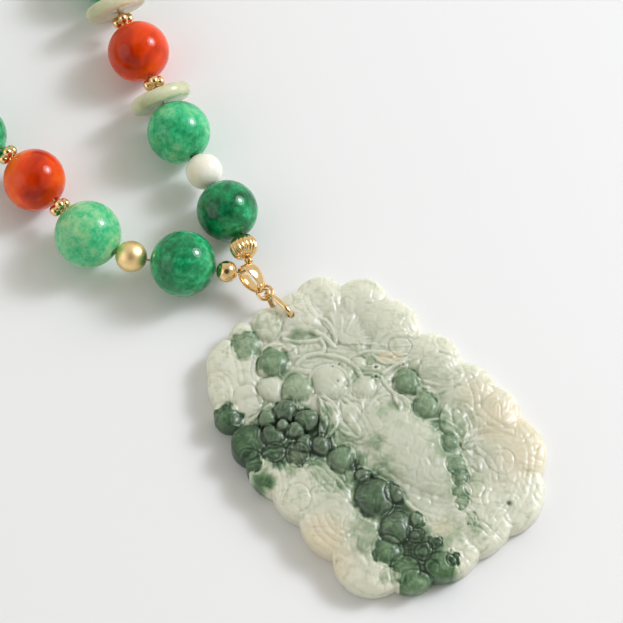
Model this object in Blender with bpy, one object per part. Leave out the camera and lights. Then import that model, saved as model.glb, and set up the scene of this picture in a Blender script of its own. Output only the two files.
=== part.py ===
"""Jade bead necklace with a carved jade pendant, lying flat with its face up.

The pendant's back and the large beads touch the surface at z = 0. +Y is the pendant's own
upward direction, towards its bail, and +Z is up from the surface.
All sizes are in millimetres and MM turns them into metres.
"""
import math

import bmesh
import bpy
import numpy as np
from mathutils import Vector

MM = 0.001

# The pendant's own sizes
PENDANT_LENGTH = 54.0
PENDANT_WIDTH = 40.0
PENDANT_THICK = 6.6
RIM_HEIGHT = 3.5
EDGE_ROUND = 0.9
BACK_ROUND = 0.6
GROUND_SINK = 0.6

# The hole that the clip goes into, from the pendant's centre, and the groove on the back
HOLE_X = 2.4
HOLE_Y = 21.6
HOLE_RADIUS = 0.85
GROOVE_WIDTH = 1.7
GROOVE_RUN_OUT = 2.0
CLIP_GAP = 0.3

# The gold bail: a ribbon loop, a round link and a bent clip
BAIL_TURN = math.radians(2.0)
LOOP_CROWN = 11.3
LOOP_FOOT = 6.25
LOOP_HALF_HEIGHT = 1.9
LOOP_CROWN_WIDTH = 2.0
LOOP_SWELL = 0.4
LOOP_FOOT_WIDTH = 0.8
LOOP_ROLL = math.radians(16.0)
LOOP_THICK = 0.45
LINK_RADIUS = 1.2
LINK_WIRE = 0.5
LINK_HEIGHT = 3.6
CLIP_WIRE = 0.85
CLIP_TIP = 0.45
CLIP_RISE = 1.5
FRONT_TIP = 2.6
BACK_TIP = 1.7
PRONG_REACH = 2.1
LINK_GAP = 0.2

# The string and what is threaded on it, with the slack left between neighbours
STRING_WIRE = 0.4
BORE = 1.0
SEED_BORE = 0.8
BEAD_GAP = 0.08
SPACER_SLACK = 0.4
BARE_RIGHT = 1.3
BARE_LEFT = 1.3

GREEN = 10.1
GREEN_RIGHT_FIRST = 9.7
GREEN_LEFT_FIRST = 10.4
GREEN_LEFT_SECOND = 10.6
ORANGE = 9.9
WHITE = 5.8
SATIN_GOLD = 5.0
SMALL_GOLD = 3.4
FLUTED_GOLD = 4.5
FLUTED_LENGTH = 4.1
FLUTES = 18
FLUTE_DEPTH = 0.25
SEED_WIDTH = 1.4
SEED_LENGTH = 0.8
DISC_WIDTH = 10.3
DISC_THICK = 2.4
DISC_BORE = 1.3
DISC_SLACK = 1.2
DISC_LEAN = math.radians(18.0)
GRANULE = 1.9
GRANULE_RING = 3.6
CLASP_WIDTH = 6.5
CLASP_LENGTH = 9.0
PLAIN_RUNS = 4

# The size at which the carving and the string's route below were drawn
DRAWN_LENGTH = 54.0
DRAWN_WIDTH = 40.0

# The route of the string from the bail, up the right strand, round and down the left one.
# The first and last groups are the strands near the pendant, and the middle one closes the loop.
ROUTE_RIGHT = [(3.5, 33.0), (4.1, 35.2), (7.5, 41.5), (8.3, 49.3), (9.2, 57.2),
               (11.6, 64.1), (14.5, 73.2), (16.6, 80.6)]
ROUTE_BACK = [(20.0, 88.5), (26.5, 101.0), (34.0, 118.0), (37.5, 138.0), (34.0, 157.0),
              (22.0, 172.0), (4.0, 177.5), (-14.0, 172.5), (-27.0, 158.0), (-31.5, 138.0),
              (-28.5, 118.0), (-22.5, 100.0), (-17.0, 84.0)]
ROUTE_LEFT = [(-12.6, 68.0), (-13.0, 59.0), (-14.8, 50.6), (-8.9, 44.8), (-4.7, 39.8),
              (-0.7, 34.1)]
ROUTE_SEEN = 82.0

# Leaf lobes and fruits along the pendant's edge, clockwise from the clip: x, y, radius
RIM_LOBES = [
    (8.0, 20.8, 4.2), (12.5, 16.4, 4.3), (12.4, 10.2, 5.2), (13.8, 1.7, 4.8),
    (14.1, -5.5, 5.2), (14.5, -10.6, 5.2), (11.8, -16.8, 7.0), (7.7, -21.1, 6.9),
    (1.6, -20.7, 7.0), (-4.5, -20.3, 7.2), (-10.8, -21.2, 4.2), (-14.2, -16.4, 6.0),
    (-12.6, -8.6, 7.3), (-13.5, -1.6, 6.2), (-13.9, 4.2, 6.0), (-15.8, 9.6, 3.3),
    (-15.2, 15.7, 2.5), (-10.9, 18.5, 4.9), (-9.1, 21.2, 4.7), (-5.0, 24.0, 2.5),
    (-0.9, 22.8, 3.1), (3.5, 20.6, 4.5),
]
LOBE_LIFT = 0.4
LOBE_DROP = 1.1

# Round fruits and berries on the face: x, y, radius, how far the top stands above the ground
FRUITS = [
    (-1.3, 22.7, 2.3, 0.9), (-5.0, 23.6, 2.3, 1.1), (-4.0, 18.3, 2.5, 1.5),
    (-6.9, 14.8, 2.4, 1.1), (-4.1, 12.4, 2.4, 1.3), (-15.4, 15.7, 2.3, 1.6),
    (-16.0, 10.5, 3.0, 1.7), (-0.1, 9.4, 2.9, 1.0), (9.4, 2.4, 2.1, 1.5),
    (-7.0, -1.2, 2.1, 1.1), (-7.4, -9.7, 3.1, 1.8), (-8.7, -15.0, 2.6, 1.4),
    (-11.7, -17.0, 2.0, 1.1), (-11.5, -22.0, 2.3, 1.2), (-7.4, -23.4, 1.9, 1.0),
    (-7.5, -20.4, 1.6, 1.0), (-16.2, -1.7, 2.2, 0.9), (15.1, 1.4, 3.6, 0.8),
    (8.7, -2.5, 1.9, 0.8), (-9.9, 0.0, 1.4, 0.9),
]

# The dark flower: its centre, and berries set round it
FLOWER_X = -9.7
FLOWER_Y = 8.8
FLOWER_RADIUS = 2.8
FLOWER_PETALS = 5
FLOWER_BERRY = 1.9
FLOWER_LIFT = 1.5

# The smooth swelling in the middle of the face
SWELL_X = 1.6
SWELL_Y = -8.1
SWELL_LENGTH = 10.5
SWELL_WIDTH = 5.2
SWELL_TURN = math.radians(12.0)
SWELL_LIFT = 0.85

# The lotus leaf: ribs fan out from its root between two directions
LOTUS_X = 5.8
LOTUS_Y = 12.5
LOTUS_REACH = 12.0
LOTUS_FROM = math.radians(-30.0)
LOTUS_TO = math.radians(95.0)
LOTUS_RIBS = 7
LOTUS_RIB_HEIGHT = 0.5
LOTUS_DISH = 0.5

# Raised stems and leaf edges: start, bend, end, half width, height
RIDGES = [
    ((-0.6, 20.0), (5.2, 18.8), (3.7, 12.8), 1.0, 0.9),
    ((-13.4, 21.0), (-8.9, 20.7), (-8.0, 17.3), 0.9, 0.8),
    ((-17.1, 6.2), (-11.8, 4.7), (-12.4, -4.5), 1.0, 0.9),
    ((-16.7, -7.4), (-11.4, -8.3), (-11.3, -12.6), 1.0, 0.8),
    ((13.5, -13.1), (8.8, -10.5), (8.5, -5.7), 1.0, 0.8),
    ((6.2, -13.1), (3.8, -18.4), (-1.8, -22.1), 1.0, 0.8),
    ((12.6, 3.6), (8.4, 7.9), (3.5, 5.8), 0.9, 0.7),
]

FACE_ACROSS = 28
FACE_ALONG = 36
BEAD_SIDES = 12
PLAIN_SIDES = 8
LOOP_STEPS = 24
CLIP_STEPS = 5


def remove_everything():
    """Empty the scene before the model is made."""
    for item in list(bpy.data.objects):
        bpy.data.objects.remove(item, do_unlink=True)


def material(name, colour, roughness, metallic=0.0):
    """A plain material with one colour."""
    made = bpy.data.materials.new(name)
    made.use_nodes = True
    shader = made.node_tree.nodes["Principled BSDF"]
    shader.inputs["Base Color"].default_value = (*colour, 1.0)
    shader.inputs["Roughness"].default_value = roughness
    shader.inputs["Metallic"].default_value = metallic
    made.diffuse_color = (*colour, 1.0)
    return made


def add_object(name, data, finish, parent, location=(0.0, 0.0, 0.0)):
    """Put mesh or curve data into the scene under a parent, at a place in millimetres."""
    made = bpy.data.objects.new(name, data)
    bpy.context.collection.objects.link(made)
    data.materials.append(finish)
    made.parent = parent
    made.location = Vector(location) * MM
    return made


def add_empty(name, parent=None, location=(0.0, 0.0, 0.0), turn=0.0):
    """An empty that carries other objects."""
    made = bpy.data.objects.new(name, None)
    bpy.context.collection.objects.link(made)
    made.parent = parent
    made.location = Vector(location) * MM
    made.rotation_euler = (0.0, 0.0, turn)
    return made


def mesh_from(build, name, smooth=True):
    """Close up a bmesh in millimetres as mesh data in metres, with its faces outward."""
    bmesh.ops.recalc_face_normals(build, faces=build.faces[:])
    bmesh.ops.scale(build, vec=(MM, MM, MM), verts=build.verts[:])
    data = bpy.data.meshes.new(name)
    build.to_mesh(data)
    build.free()
    if smooth:
        data.shade_smooth()
        data.set_sharp_from_angle(angle=math.radians(40.0))
    return data


def drawn_to_real():
    """Factors that turn drawn carving sizes into the pendant's real ones, across and along."""
    return PENDANT_WIDTH / DRAWN_WIDTH, PENDANT_LENGTH / DRAWN_LENGTH


def rim_radius(angle):
    """Distance from the pendant's centre to its edge: the farthest lobe that each ray meets."""
    ray = np.stack([np.cos(angle), np.sin(angle)], -1)
    reach = np.zeros(angle.shape)
    for x, y, radius in RIM_LOBES:
        along = ray[..., 0] * x + ray[..., 1] * y
        inside = radius**2 - (x * x + y * y) + along**2
        meets = along + np.sqrt(np.maximum(inside, 0.0))
        reach = np.where(inside > 0.0, np.maximum(reach, meets), reach)
    return reach


def ground_height(x, y):
    """The face without its motifs: a low dome that falls from the middle to the rim."""
    share = (x / (0.5 * DRAWN_WIDTH)) ** 2 + (y / (0.5 * DRAWN_LENGTH)) ** 2
    rise = PENDANT_THICK - RIM_HEIGHT - SWELL_LIFT
    return RIM_HEIGHT + rise * np.clip(1.0 - share, 0.0, 1.0) - GROUND_SINK


def ridge_distance(x, y, start, bend, end):
    """Distance to a bent stem, taken as the nearest of short straight pieces."""
    share = np.linspace(0.0, 1.0, 9)[:, None]
    path = (1 - share) ** 2 * np.array(start) + 2 * share * (1 - share) * np.array(bend)
    path = path + share**2 * np.array(end)
    nearest = np.full(x.shape, 1e9)
    for a, b in zip(path[:-1], path[1:]):
        step = b - a
        along = ((x - a[0]) * step[0] + (y - a[1]) * step[1]) / (step @ step)
        along = np.clip(along, 0.0, 1.0)
        gap = np.hypot(x - a[0] - along * step[0], y - a[1] - along * step[1])
        nearest = np.minimum(nearest, gap)
    return nearest


def face_height(x, y):
    """Height of the carved face: the highest of the ground, lobes, fruits, stems and leaves."""
    ground = ground_height(x, y)
    height = ground.copy()
    for lobe_x, lobe_y, radius in RIM_LOBES:
        away = np.hypot(x - lobe_x, y - lobe_y) / radius
        top = ground_height(np.array(lobe_x), np.array(lobe_y)) + GROUND_SINK + LOBE_LIFT
        cap = top - LOBE_DROP * away**3
        height = np.where(away < 1.1, np.maximum(height, cap), height)
    angle = np.arctan2(y - LOTUS_Y, x - LOTUS_X)
    away = np.hypot(x - LOTUS_X, y - LOTUS_Y) / LOTUS_REACH
    turn = (angle - LOTUS_FROM) / (LOTUS_TO - LOTUS_FROM)
    within = (turn > 0.0) & (turn < 1.0) & (away < 1.0)
    rib = 0.5 + 0.5 * np.cos(turn * 2.0 * math.pi * LOTUS_RIBS)
    leaf = ground + 0.7 - LOTUS_DISH * np.sin(math.pi * np.clip(away, 0, 1))
    leaf = leaf + LOTUS_RIB_HEIGHT * rib * np.clip(away * 2.0, 0.0, 1.0)
    height = np.where(within, leaf, height)
    across = (x - SWELL_X) * math.cos(SWELL_TURN) + (y - SWELL_Y) * math.sin(SWELL_TURN)
    along = (y - SWELL_Y) * math.cos(SWELL_TURN) - (x - SWELL_X) * math.sin(SWELL_TURN)
    share = (across / SWELL_WIDTH) ** 2 + (along / SWELL_LENGTH) ** 2
    swell = ground + (GROUND_SINK + SWELL_LIFT) * np.sqrt(np.clip(1.0 - share, 0.0, 1.0))
    height = np.maximum(height, swell)
    for start, bend, end, half, rise in RIDGES:
        near = ridge_distance(x, y, start, bend, end) / half
        stem = ground + rise * np.sqrt(np.clip(1.0 - near**2, 0.0, 1.0))
        height = np.maximum(height, stem)
    petals = np.arange(FLOWER_PETALS) * 2.0 * math.pi / FLOWER_PETALS + 0.5
    berries = [(FLOWER_X + FLOWER_RADIUS * math.cos(a), FLOWER_Y + FLOWER_RADIUS * math.sin(a),
                FLOWER_BERRY, FLOWER_LIFT) for a in petals]
    for fruit_x, fruit_y, radius, lift in FRUITS + berries:
        near = np.hypot(x - fruit_x, y - fruit_y) / radius
        base = ground_height(np.array(fruit_x), np.array(fruit_y))
        ball = base + lift - radius * (1.0 - np.sqrt(np.clip(1.0 - near**2, 0.0, 1.0)))
        height = np.where(near < 1.0, np.maximum(height, ball), height)
    return np.clip(height, RIM_HEIGHT - 1.6, PENDANT_THICK)


def pendant_mesh():
    """A square grid drawn out to the scalloped outline, raised by the carving, and walled."""
    build = bmesh.new()
    bmesh.ops.create_grid(build, x_segments=FACE_ACROSS, y_segments=FACE_ALONG, size=1.0)
    flat = np.array([v.co[:2] for v in build.verts])
    widest = np.maximum(np.abs(flat[:, 0]), np.abs(flat[:, 1]))
    angle = np.arctan2(flat[:, 1], flat[:, 0])
    steep = np.abs(flat[:, 1]) > np.abs(flat[:, 0])
    sector = np.where(steep, 0.5 * math.pi * np.sign(flat[:, 1]),
                      np.where(flat[:, 0] < 0.0, math.pi, 0.0))
    share = np.where(steep, -flat[:, 0] * np.sign(flat[:, 1]), flat[:, 1] * np.sign(flat[:, 0]))
    angle = sector + 0.25 * math.pi * share / np.maximum(widest, 1e-9)
    angle = np.arctan2(DRAWN_LENGTH * np.sin(angle), DRAWN_WIDTH * np.cos(angle))
    edge = rim_radius(angle)
    across, along = drawn_to_real()
    x = widest * (edge - EDGE_ROUND) * np.cos(angle)
    y = widest * (edge - EDGE_ROUND) * np.sin(angle)
    height = face_height(x, y)
    for vertex, place in zip(build.verts, np.stack([x * across, y * along, height], -1)):
        vertex.co = place
    rim = [e for e in build.edges if e.is_boundary]
    top = {v: v.co.copy() for e in rim for v in e.verts}
    rings = [(EDGE_ROUND * 0.87, EDGE_ROUND * 0.5, 1.0), (EDGE_ROUND, None, 0.55),
             (EDGE_ROUND - BACK_ROUND, None, 0.0)]
    below = dict(top)
    for out, drop, level in rings:
        rim, below = wall_ring(build, rim, below, out, drop, level)
    bmesh.ops.edgeloop_fill(build, edges=rim)
    return mesh_from(build, "carved_pendant")


def wall_ring(build, rim, above, out, drop, level):
    """Draw the open edge out and down by one ring, and return the new edge.

    above holds each open vertex with the place on the face's edge that it comes from.
    """
    made = bmesh.ops.extrude_edge_only(build, edges=rim)["geom"]
    fresh = [g for g in made if isinstance(g, bmesh.types.BMVert)]
    edges = [g for g in made if isinstance(g, bmesh.types.BMEdge) and g.is_boundary]
    old = list(above)
    places = np.array([v.co for v in old])
    below = {}
    for vertex in fresh:
        source = above[old[int(np.argmin(((places - np.array(vertex.co)) ** 2).sum(1)))]]
        distance = math.hypot(source.x, source.y)
        grow = (distance + out) / distance
        height = source.z - drop if drop is not None else source.z * level
        below[vertex] = source
        vertex.co = (source.x * grow, source.y * grow, height)
    return edges, below


def cutter(name, data, parent, location):
    """A shape that only cuts, shown as wire and left out of the model."""
    made = bpy.data.objects.new(name, data)
    bpy.context.collection.objects.link(made)
    made.parent = parent
    made.location = Vector(location) * MM
    made.hide_render = True
    made.display_type = "WIRE"
    return made


def make_pendant(parent, finish):
    """The carved pendant with its hole and the groove on its back for the clip."""
    pendant = add_object("carved_pendant", pendant_mesh(), finish, parent)
    across, along = drawn_to_real()
    hole = bmesh.new()
    bmesh.ops.create_cone(hole, cap_ends=True, segments=12, radius1=HOLE_RADIUS,
                          radius2=HOLE_RADIUS, depth=3.0 * PENDANT_THICK)
    groove = bmesh.new()
    bmesh.ops.create_cube(groove, size=1.0)
    depth = CLIP_WIRE + 2.0 * CLIP_GAP
    length = PENDANT_LENGTH * 0.5 - HOLE_Y * along + HOLE_RADIUS + GROOVE_RUN_OUT
    bmesh.ops.scale(groove, vec=(GROOVE_WIDTH, length, 2.0 * depth), verts=groove.verts[:])
    bmesh.ops.translate(groove, vec=(0.0, 0.5 * length - HOLE_RADIUS, 0.0), verts=groove.verts[:])
    place = (HOLE_X * across, HOLE_Y * along, 0.0)
    cuts = [cutter("hole_cutter", mesh_from(hole, "hole_cutter", False), parent, place),
            cutter("groove_cutter", mesh_from(groove, "groove_cutter", False), parent, place)]
    cuts[1].rotation_euler = (0.0, 0.0, BAIL_TURN)
    for cut in cuts:
        step = pendant.modifiers.new(cut.name, "BOOLEAN")
        step.operation = "DIFFERENCE"
        step.object = cut
    return pendant


def loop_mesh(string_height):
    """The ribbon loop: a teardrop ring seen from the side, wide at its crown and rolled over."""
    build = bmesh.new()
    turn = np.arange(LOOP_STEPS) * 2.0 * math.pi / LOOP_STEPS
    middle = 0.5 * (LOOP_CROWN + LOOP_FOOT)
    half = 0.5 * (LOOP_CROWN - LOOP_FOOT)
    tilt = (string_height - LINK_HEIGHT) / (LOOP_CROWN - LOOP_FOOT)
    rows = []
    for inset in (0.0, LOOP_THICK):
        y = middle + (half - inset) * np.cos(turn)
        rise = (LOOP_HALF_HEIGHT - inset) * np.sin(turn) * (0.85 + 0.15 * np.cos(turn))
        level = LINK_HEIGHT + tilt * (y - LOOP_FOOT)
        share = 0.5 + 0.5 * np.cos(turn)
        swell = LOOP_SWELL * np.sin(math.pi * share)
        grow = (LOOP_CROWN_WIDTH - LOOP_FOOT_WIDTH) * np.sqrt(share)
        width = 0.5 * (LOOP_FOOT_WIDTH + grow + swell)
        for side in (-1.0, 1.0):
            x = side * width * math.cos(LOOP_ROLL) + rise * math.sin(LOOP_ROLL)
            z = level + rise * math.cos(LOOP_ROLL) - side * width * math.sin(LOOP_ROLL)
            rows.append([build.verts.new(place) for place in zip(x, y, z)])
    outer_left, outer_right, inner_left, inner_right = rows
    for i in range(LOOP_STEPS):
        j = (i + 1) % LOOP_STEPS
        build.faces.new((outer_left[i], outer_right[i], outer_right[j], outer_left[j]))
        build.faces.new((inner_left[i], inner_right[i], inner_right[j], inner_left[j]))
        build.faces.new((outer_left[i], inner_left[i], inner_left[j], outer_left[j]))
        build.faces.new((outer_right[i], inner_right[i], inner_right[j], outer_right[j]))
    return mesh_from(build, "bail_loop")


def swept_mesh(name, path, radii, sides, closed):
    """A round wire along a path in the plane x = 0, or a closed ring of wire anywhere."""
    build = bmesh.new()
    path = np.asarray(path, float)
    if closed:
        ahead = np.roll(path, -1, 0) - np.roll(path, 1, 0)
    else:
        ahead = np.gradient(path, axis=0)
    ahead /= np.linalg.norm(ahead, axis=1, keepdims=True)
    flat = np.ptp(path[:, 2]) < 1e-9
    side = np.tile((0.0, 0.0, 1.0) if flat else (1.0, 0.0, 0.0), (len(path), 1))
    normal = np.cross(ahead, side)
    rings = []
    for place, a, b, radius in zip(path, side, normal, radii):
        turns = [2.0 * math.pi * k / sides for k in range(sides)]
        points = [place + radius * (math.cos(t) * a + math.sin(t) * b) for t in turns]
        rings.append([build.verts.new(p) for p in points])
    count = len(rings) if closed else len(rings) - 1
    for i in range(count):
        first, second = rings[i], rings[(i + 1) % len(rings)]
        for k in range(sides):
            m = (k + 1) % sides
            build.faces.new((first[k], first[m], second[m], second[k]))
    if not closed:
        build.faces.new(rings[0])
        build.faces.new(rings[-1])
    return mesh_from(build, name)


def link_centre():
    """How far the middle of the link lies from the hole: it hangs in the loop's foot."""
    return LOOP_FOOT + LOOP_THICK + LINK_GAP + 0.5 * LINK_WIRE - LINK_RADIUS


def clip_route():
    """The clip's bend round the link and its two prongs, as points across x = 0."""
    eye = link_centre() - LINK_RADIUS
    bend = 0.5 * (LINK_WIRE + CLIP_WIRE) + LINK_GAP
    top = RIM_HEIGHT + 0.5 * CLIP_WIRE + CLIP_RISE
    low = 0.5 * CLIP_WIRE + CLIP_GAP
    front = [(0.0, FRONT_TIP), (0.05, FRONT_TIP + 1.0), (0.3, top - 0.9), (1.0, top - 0.2),
             (PRONG_REACH, top), (eye - 1.1, top - 0.3)]
    back = [(eye - 0.3, low + 0.8), (eye - 1.0, low + 0.1), (PRONG_REACH + 0.3, low), (0.9, low),
            (0.25, low + 0.35), (0.0, BACK_TIP)]
    arc = []
    for k in range(CLIP_STEPS):
        a = math.radians(70.0 - 140.0 * k / (CLIP_STEPS - 1))
        arc.append((eye + bend * math.cos(a), LINK_HEIGHT + bend * math.sin(a)))
    return front, arc, back


def make_bail(bail, finish, string_height):
    """The loop, the link through its foot and the clip that holds the pendant."""
    add_object("bail_loop", loop_mesh(string_height), finish, bail)
    centre = link_centre()
    turn = np.arange(12) * 2.0 * math.pi / 12
    ring = np.stack([LINK_RADIUS * np.cos(turn), centre + LINK_RADIUS * np.sin(turn),
                     np.full(12, LINK_HEIGHT)], -1)
    data = swept_mesh("link_ring", ring, [0.5 * LINK_WIRE] * 12, 6, True)
    add_object("link_ring", data, finish, bail)
    front, arc, back = clip_route()
    route = smooth_points(front + arc + back, 2)
    path = np.array([(0.0, y, z) for y, z in route])
    share = np.linspace(-1.0, 1.0, len(path))
    radii = 0.5 * (CLIP_WIRE + (CLIP_TIP - CLIP_WIRE) * np.abs(share) ** 4)
    data = swept_mesh("pinch_clip", path, radii, 6, False)
    add_object("pinch_clip", data, finish, bail)


def smooth_points(points, steps, closed=False):
    """Points on a smooth curve through the given ones, with steps points for each span."""
    points = np.array(points, float)
    if closed:
        before, after = np.roll(points, 1, 0), np.roll(points, -1, 0)
    else:
        before = np.vstack([2.0 * points[0] - points[1], points[:-1]])
        after = np.vstack([points[1:], 2.0 * points[-1] - points[-2]])
    left = np.linalg.norm(points - before, axis=1, keepdims=True)
    right = np.linalg.norm(after - points, axis=1, keepdims=True)
    slope = ((points - before) / left * right + (after - points) / right * left) / (left + right)
    spans = len(points) if closed else len(points) - 1
    t = np.linspace(0.0, 1.0, steps, endpoint=False)[:, None]
    made = []
    for i in range(spans):
        j = (i + 1) % len(points)
        reach = np.linalg.norm(points[j] - points[i])
        made.append((1 + 2 * t) * (1 - t) ** 2 * points[i] + t * (1 - t) ** 2 * reach * slope[i]
                    + t**2 * (3 - 2 * t) * points[j] - t**2 * (1 - t) * reach * slope[j])
    if not closed:
        made.append(points[-1:])
    return np.vstack(made)


def bail_point():
    """Where the string lies inside the crown of the bail's loop, from the pendant's centre."""
    across, along = drawn_to_real()
    up = LOOP_CROWN - LOOP_THICK - 0.5 * STRING_WIRE - 0.25
    return (HOLE_X * across - up * math.sin(BAIL_TURN), HOLE_Y * along + up * math.cos(BAIL_TURN))


def string_curve(length):
    """The closed loop that the string follows, its far side drawn out until it is that long."""
    start = np.array(bail_point())
    drawn = np.array((2.0, 32.1))

    def loop(stretch):
        back = [(x, ROUTE_SEEN + (y - ROUTE_SEEN) * stretch) for x, y in ROUTE_BACK]
        points = np.array([drawn] + ROUTE_RIGHT + back + ROUTE_LEFT) + (start - drawn)
        curve = smooth_points(points, 40, closed=True)
        curve = np.vstack([curve, curve[:1]])
        way = np.concatenate([[0.0], np.cumsum(np.linalg.norm(np.diff(curve, axis=0), axis=1))])
        return curve, way

    low, high = 0.05, 4.0
    for _ in range(50):
        stretch = 0.5 * (low + high)
        if loop(stretch)[1][-1] < length:
            low = stretch
        else:
            high = stretch
    return loop(0.5 * (low + high))


def ball_profile(width, length, steps, bore):
    """Half outline of a bead as (distance from axis, place along axis), bore edge to edge."""
    half, mouth = 0.5 * width, 0.5 * bore
    start = math.asin(min(mouth / half, 0.95))
    turns = [start + (math.pi - 2.0 * start) * k / steps for k in range(steps + 1)]
    return [(half * math.sin(a), 0.5 * length * math.cos(a)) for a in turns]


def disc_profile(width, length, bore):
    """Half outline of a flat disc with a rounded rim."""
    half, thick, mouth = 0.5 * width, 0.5 * length, 0.5 * bore
    return [(mouth, thick * 0.8), (half - thick, thick), (half - 0.3 * thick, 0.7 * thick),
            (half, 0.0), (half - 0.3 * thick, -0.7 * thick), (half - thick, -thick),
            (mouth, -thick * 0.8)]


def clasp_profile(width, length, bore):
    """Half outline of the barrel clasp, with a groove where its halves meet."""
    half, end, mouth = 0.5 * width, 0.5 * length, 0.5 * bore
    return [(mouth, end), (0.45 * half, end), (0.85 * half, 0.72 * end), (half, 0.3 * end),
            (half, 0.06 * end), (0.9 * half, 0.0), (half, -0.06 * end), (half, -0.3 * end),
            (0.85 * half, -0.72 * end), (0.45 * half, -end), (mouth, -end)]


def turned_mesh(name, profile, sides, lobes=0, depth=0.0):
    """Spin a half outline and its bore about the bead's axis; lobes cut flutes into it."""
    build = bmesh.new()
    verts = [build.verts.new((r, 0.0, z)) for r, z in profile]
    edges = [build.edges.new(pair) for pair in zip(verts, verts[1:] + verts[:1])]
    bmesh.ops.spin(build, geom=verts + edges, cent=(0.0, 0.0, 0.0), axis=(0.0, 0.0, 1.0),
                   angle=2.0 * math.pi, steps=sides, use_merge=True)
    bmesh.ops.remove_doubles(build, verts=build.verts[:], dist=1e-4)
    if lobes:
        widest = max(r for r, z in profile)
        narrow = min(r for r, z in profile)
        for vertex in build.verts:
            distance = math.hypot(vertex.co.x, vertex.co.y)
            angle = math.atan2(vertex.co.y, vertex.co.x)
            share = (distance - narrow) / (widest - narrow)
            cut = depth * share * (0.5 - 0.5 * math.cos(lobes * angle))
            vertex.co.x *= (distance - cut) / distance
            vertex.co.y *= (distance - cut) / distance
    return mesh_from(build, name)


def strands():
    """What is threaded up each strand from the bail: kind, width, length and slack."""
    green = ("green_bead", GREEN, GREEN, BEAD_GAP)
    satin = ("satin_gold_ball", SATIN_GOLD, SATIN_GOLD, BEAD_GAP)
    orange = ("orange_bead", ORANGE, ORANGE, SPACER_SLACK)
    granules = ("granule_ring", GRANULE_RING, GRANULE, SPACER_SLACK)
    disc = ("jade_disc", DISC_WIDTH, DISC_THICK, DISC_SLACK)
    right = [("gold_seed_bead", SEED_WIDTH, SEED_LENGTH, BEAD_GAP),
             ("fluted_gold_bead", FLUTED_GOLD, FLUTED_LENGTH, BEAD_GAP),
             ("green_bead", GREEN_RIGHT_FIRST, GREEN_RIGHT_FIRST, BEAD_GAP),
             ("white_bead", WHITE, WHITE, BEAD_GAP), ("green_bead", GREEN, GREEN, BEAD_GAP),
             disc, granules, orange, granules, disc]
    left = [("small_gold_ball", SMALL_GOLD, SMALL_GOLD, BEAD_GAP),
            ("green_bead", GREEN_LEFT_FIRST, GREEN_LEFT_FIRST, BEAD_GAP), satin,
            ("green_bead", GREEN_LEFT_SECOND, GREEN_LEFT_SECOND, BEAD_GAP),
            granules, orange, granules]
    plain = [green, green, green, satin] * PLAIN_RUNS
    return right, left, plain


def bead_mesh(kind, width, length, sides, steps):
    """The mesh of one bead of a kind, turned about its own z axis."""
    if kind == "jade_disc":
        return turned_mesh(kind, disc_profile(width, length, DISC_BORE), 16)
    if kind == "granule_ring":
        return turned_mesh(kind, ball_profile(width, length, 3, BORE), 12, 4, 0.3 * GRANULE)
    if kind == "fluted_gold_bead":
        profile = ball_profile(width, length, 4, BORE)
        return turned_mesh(kind, profile, 2 * FLUTES, FLUTES, FLUTE_DEPTH)
    if kind == "gold_seed_bead":
        return turned_mesh(kind, ball_profile(width, length, 3, SEED_BORE), 8)
    if kind == "clasp":
        return turned_mesh(kind, clasp_profile(width, length, BORE), 12)
    return turned_mesh(kind, ball_profile(width, length, steps, BORE), sides)


def meeting_points(lengths, slack):
    """Where neighbours meet along the string, with more slack wherever it bends."""
    for _ in range(8):
        ends = BARE_RIGHT + np.concatenate([[0.0], np.cumsum(lengths + slack)])
        curve, way = string_curve(ends[-1] + BARE_LEFT)
        joints = np.stack([np.interp(ends, way, curve[:, k]) for k in (0, 1)], -1)
        centres = 0.5 * (joints[:-1] + joints[1:])
        apart = np.linalg.norm(np.diff(centres, axis=0), axis=1)
        missing = 0.5 * (lengths[:-1] + lengths[1:]) + BEAD_GAP - apart
        slack[:-1] += 0.5 * np.maximum(missing, 0.0)
        slack[1:] += 0.5 * np.maximum(missing, 0.0)
    return ends, joints


def thread_beads(parent, finishes):
    """Set every bead on its own straight stretch of the string and lay the string through."""
    right, left, plain = strands()
    clasp = ("clasp", CLASP_WIDTH, CLASP_LENGTH, BEAD_GAP)
    order = [(b, "right") for b in right + plain] + [(clasp, "")]
    order += [(b, "left") for b in reversed(left + plain)]
    near = len(right), len(order) - len(left)
    widths, lengths, slack = np.array([bead[1:] for bead, side in order]).T
    ends, joints = meeting_points(lengths, slack)
    total = ends[-1] + BARE_LEFT
    middle = 0.5 * (ends[:-1] + ends[1:])
    resting = widths > 0.8 * GREEN
    lean = np.array([DISC_LEAN if bead[0] == "jade_disc" else 0.0 for bead, side in order])
    stand = 0.5 * widths * np.cos(lean)
    level = stand[resting]
    heights = np.interp(ends, middle[resting], level, period=total)
    counts = {}
    for i, ((kind, width, length, spare), side) in enumerate(order):
        first, second = joints[i], joints[i + 1]
        ahead = Vector((*(second - first), 0.0)).normalized()
        height = 0.5 * (heights[i] + heights[i + 1])
        height = stand[i] if resting[i] else max(height, stand[i])
        shown = i < near[0] or i >= near[1]
        sides, steps = (BEAD_SIDES, 6) if shown and width > WHITE else (PLAIN_SIDES, 4)
        label = f"{kind}_{side}" if side else kind
        counts[label] = counts.get(label, 0) + 1
        name = f"{label}_{counts[label]}" if side else kind
        place = (*(0.5 * (first + second)), height)
        data = bead_mesh(kind, width, length, sides, steps)
        bead = add_object(name, data, finishes[kind], parent, place)
        axis = ahead * math.cos(lean[i]) + Vector((0.0, 0.0, math.sin(lean[i])))
        bead.rotation_euler = axis.to_track_quat("Z", "Y").to_euler()
    middle_clasp = len(right) + len(plain)
    string_height = float(np.interp(0.0, middle[resting], level, period=total))
    lay_string(parent, finishes["string"], joints, heights, middle_clasp, string_height)
    return string_height


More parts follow.
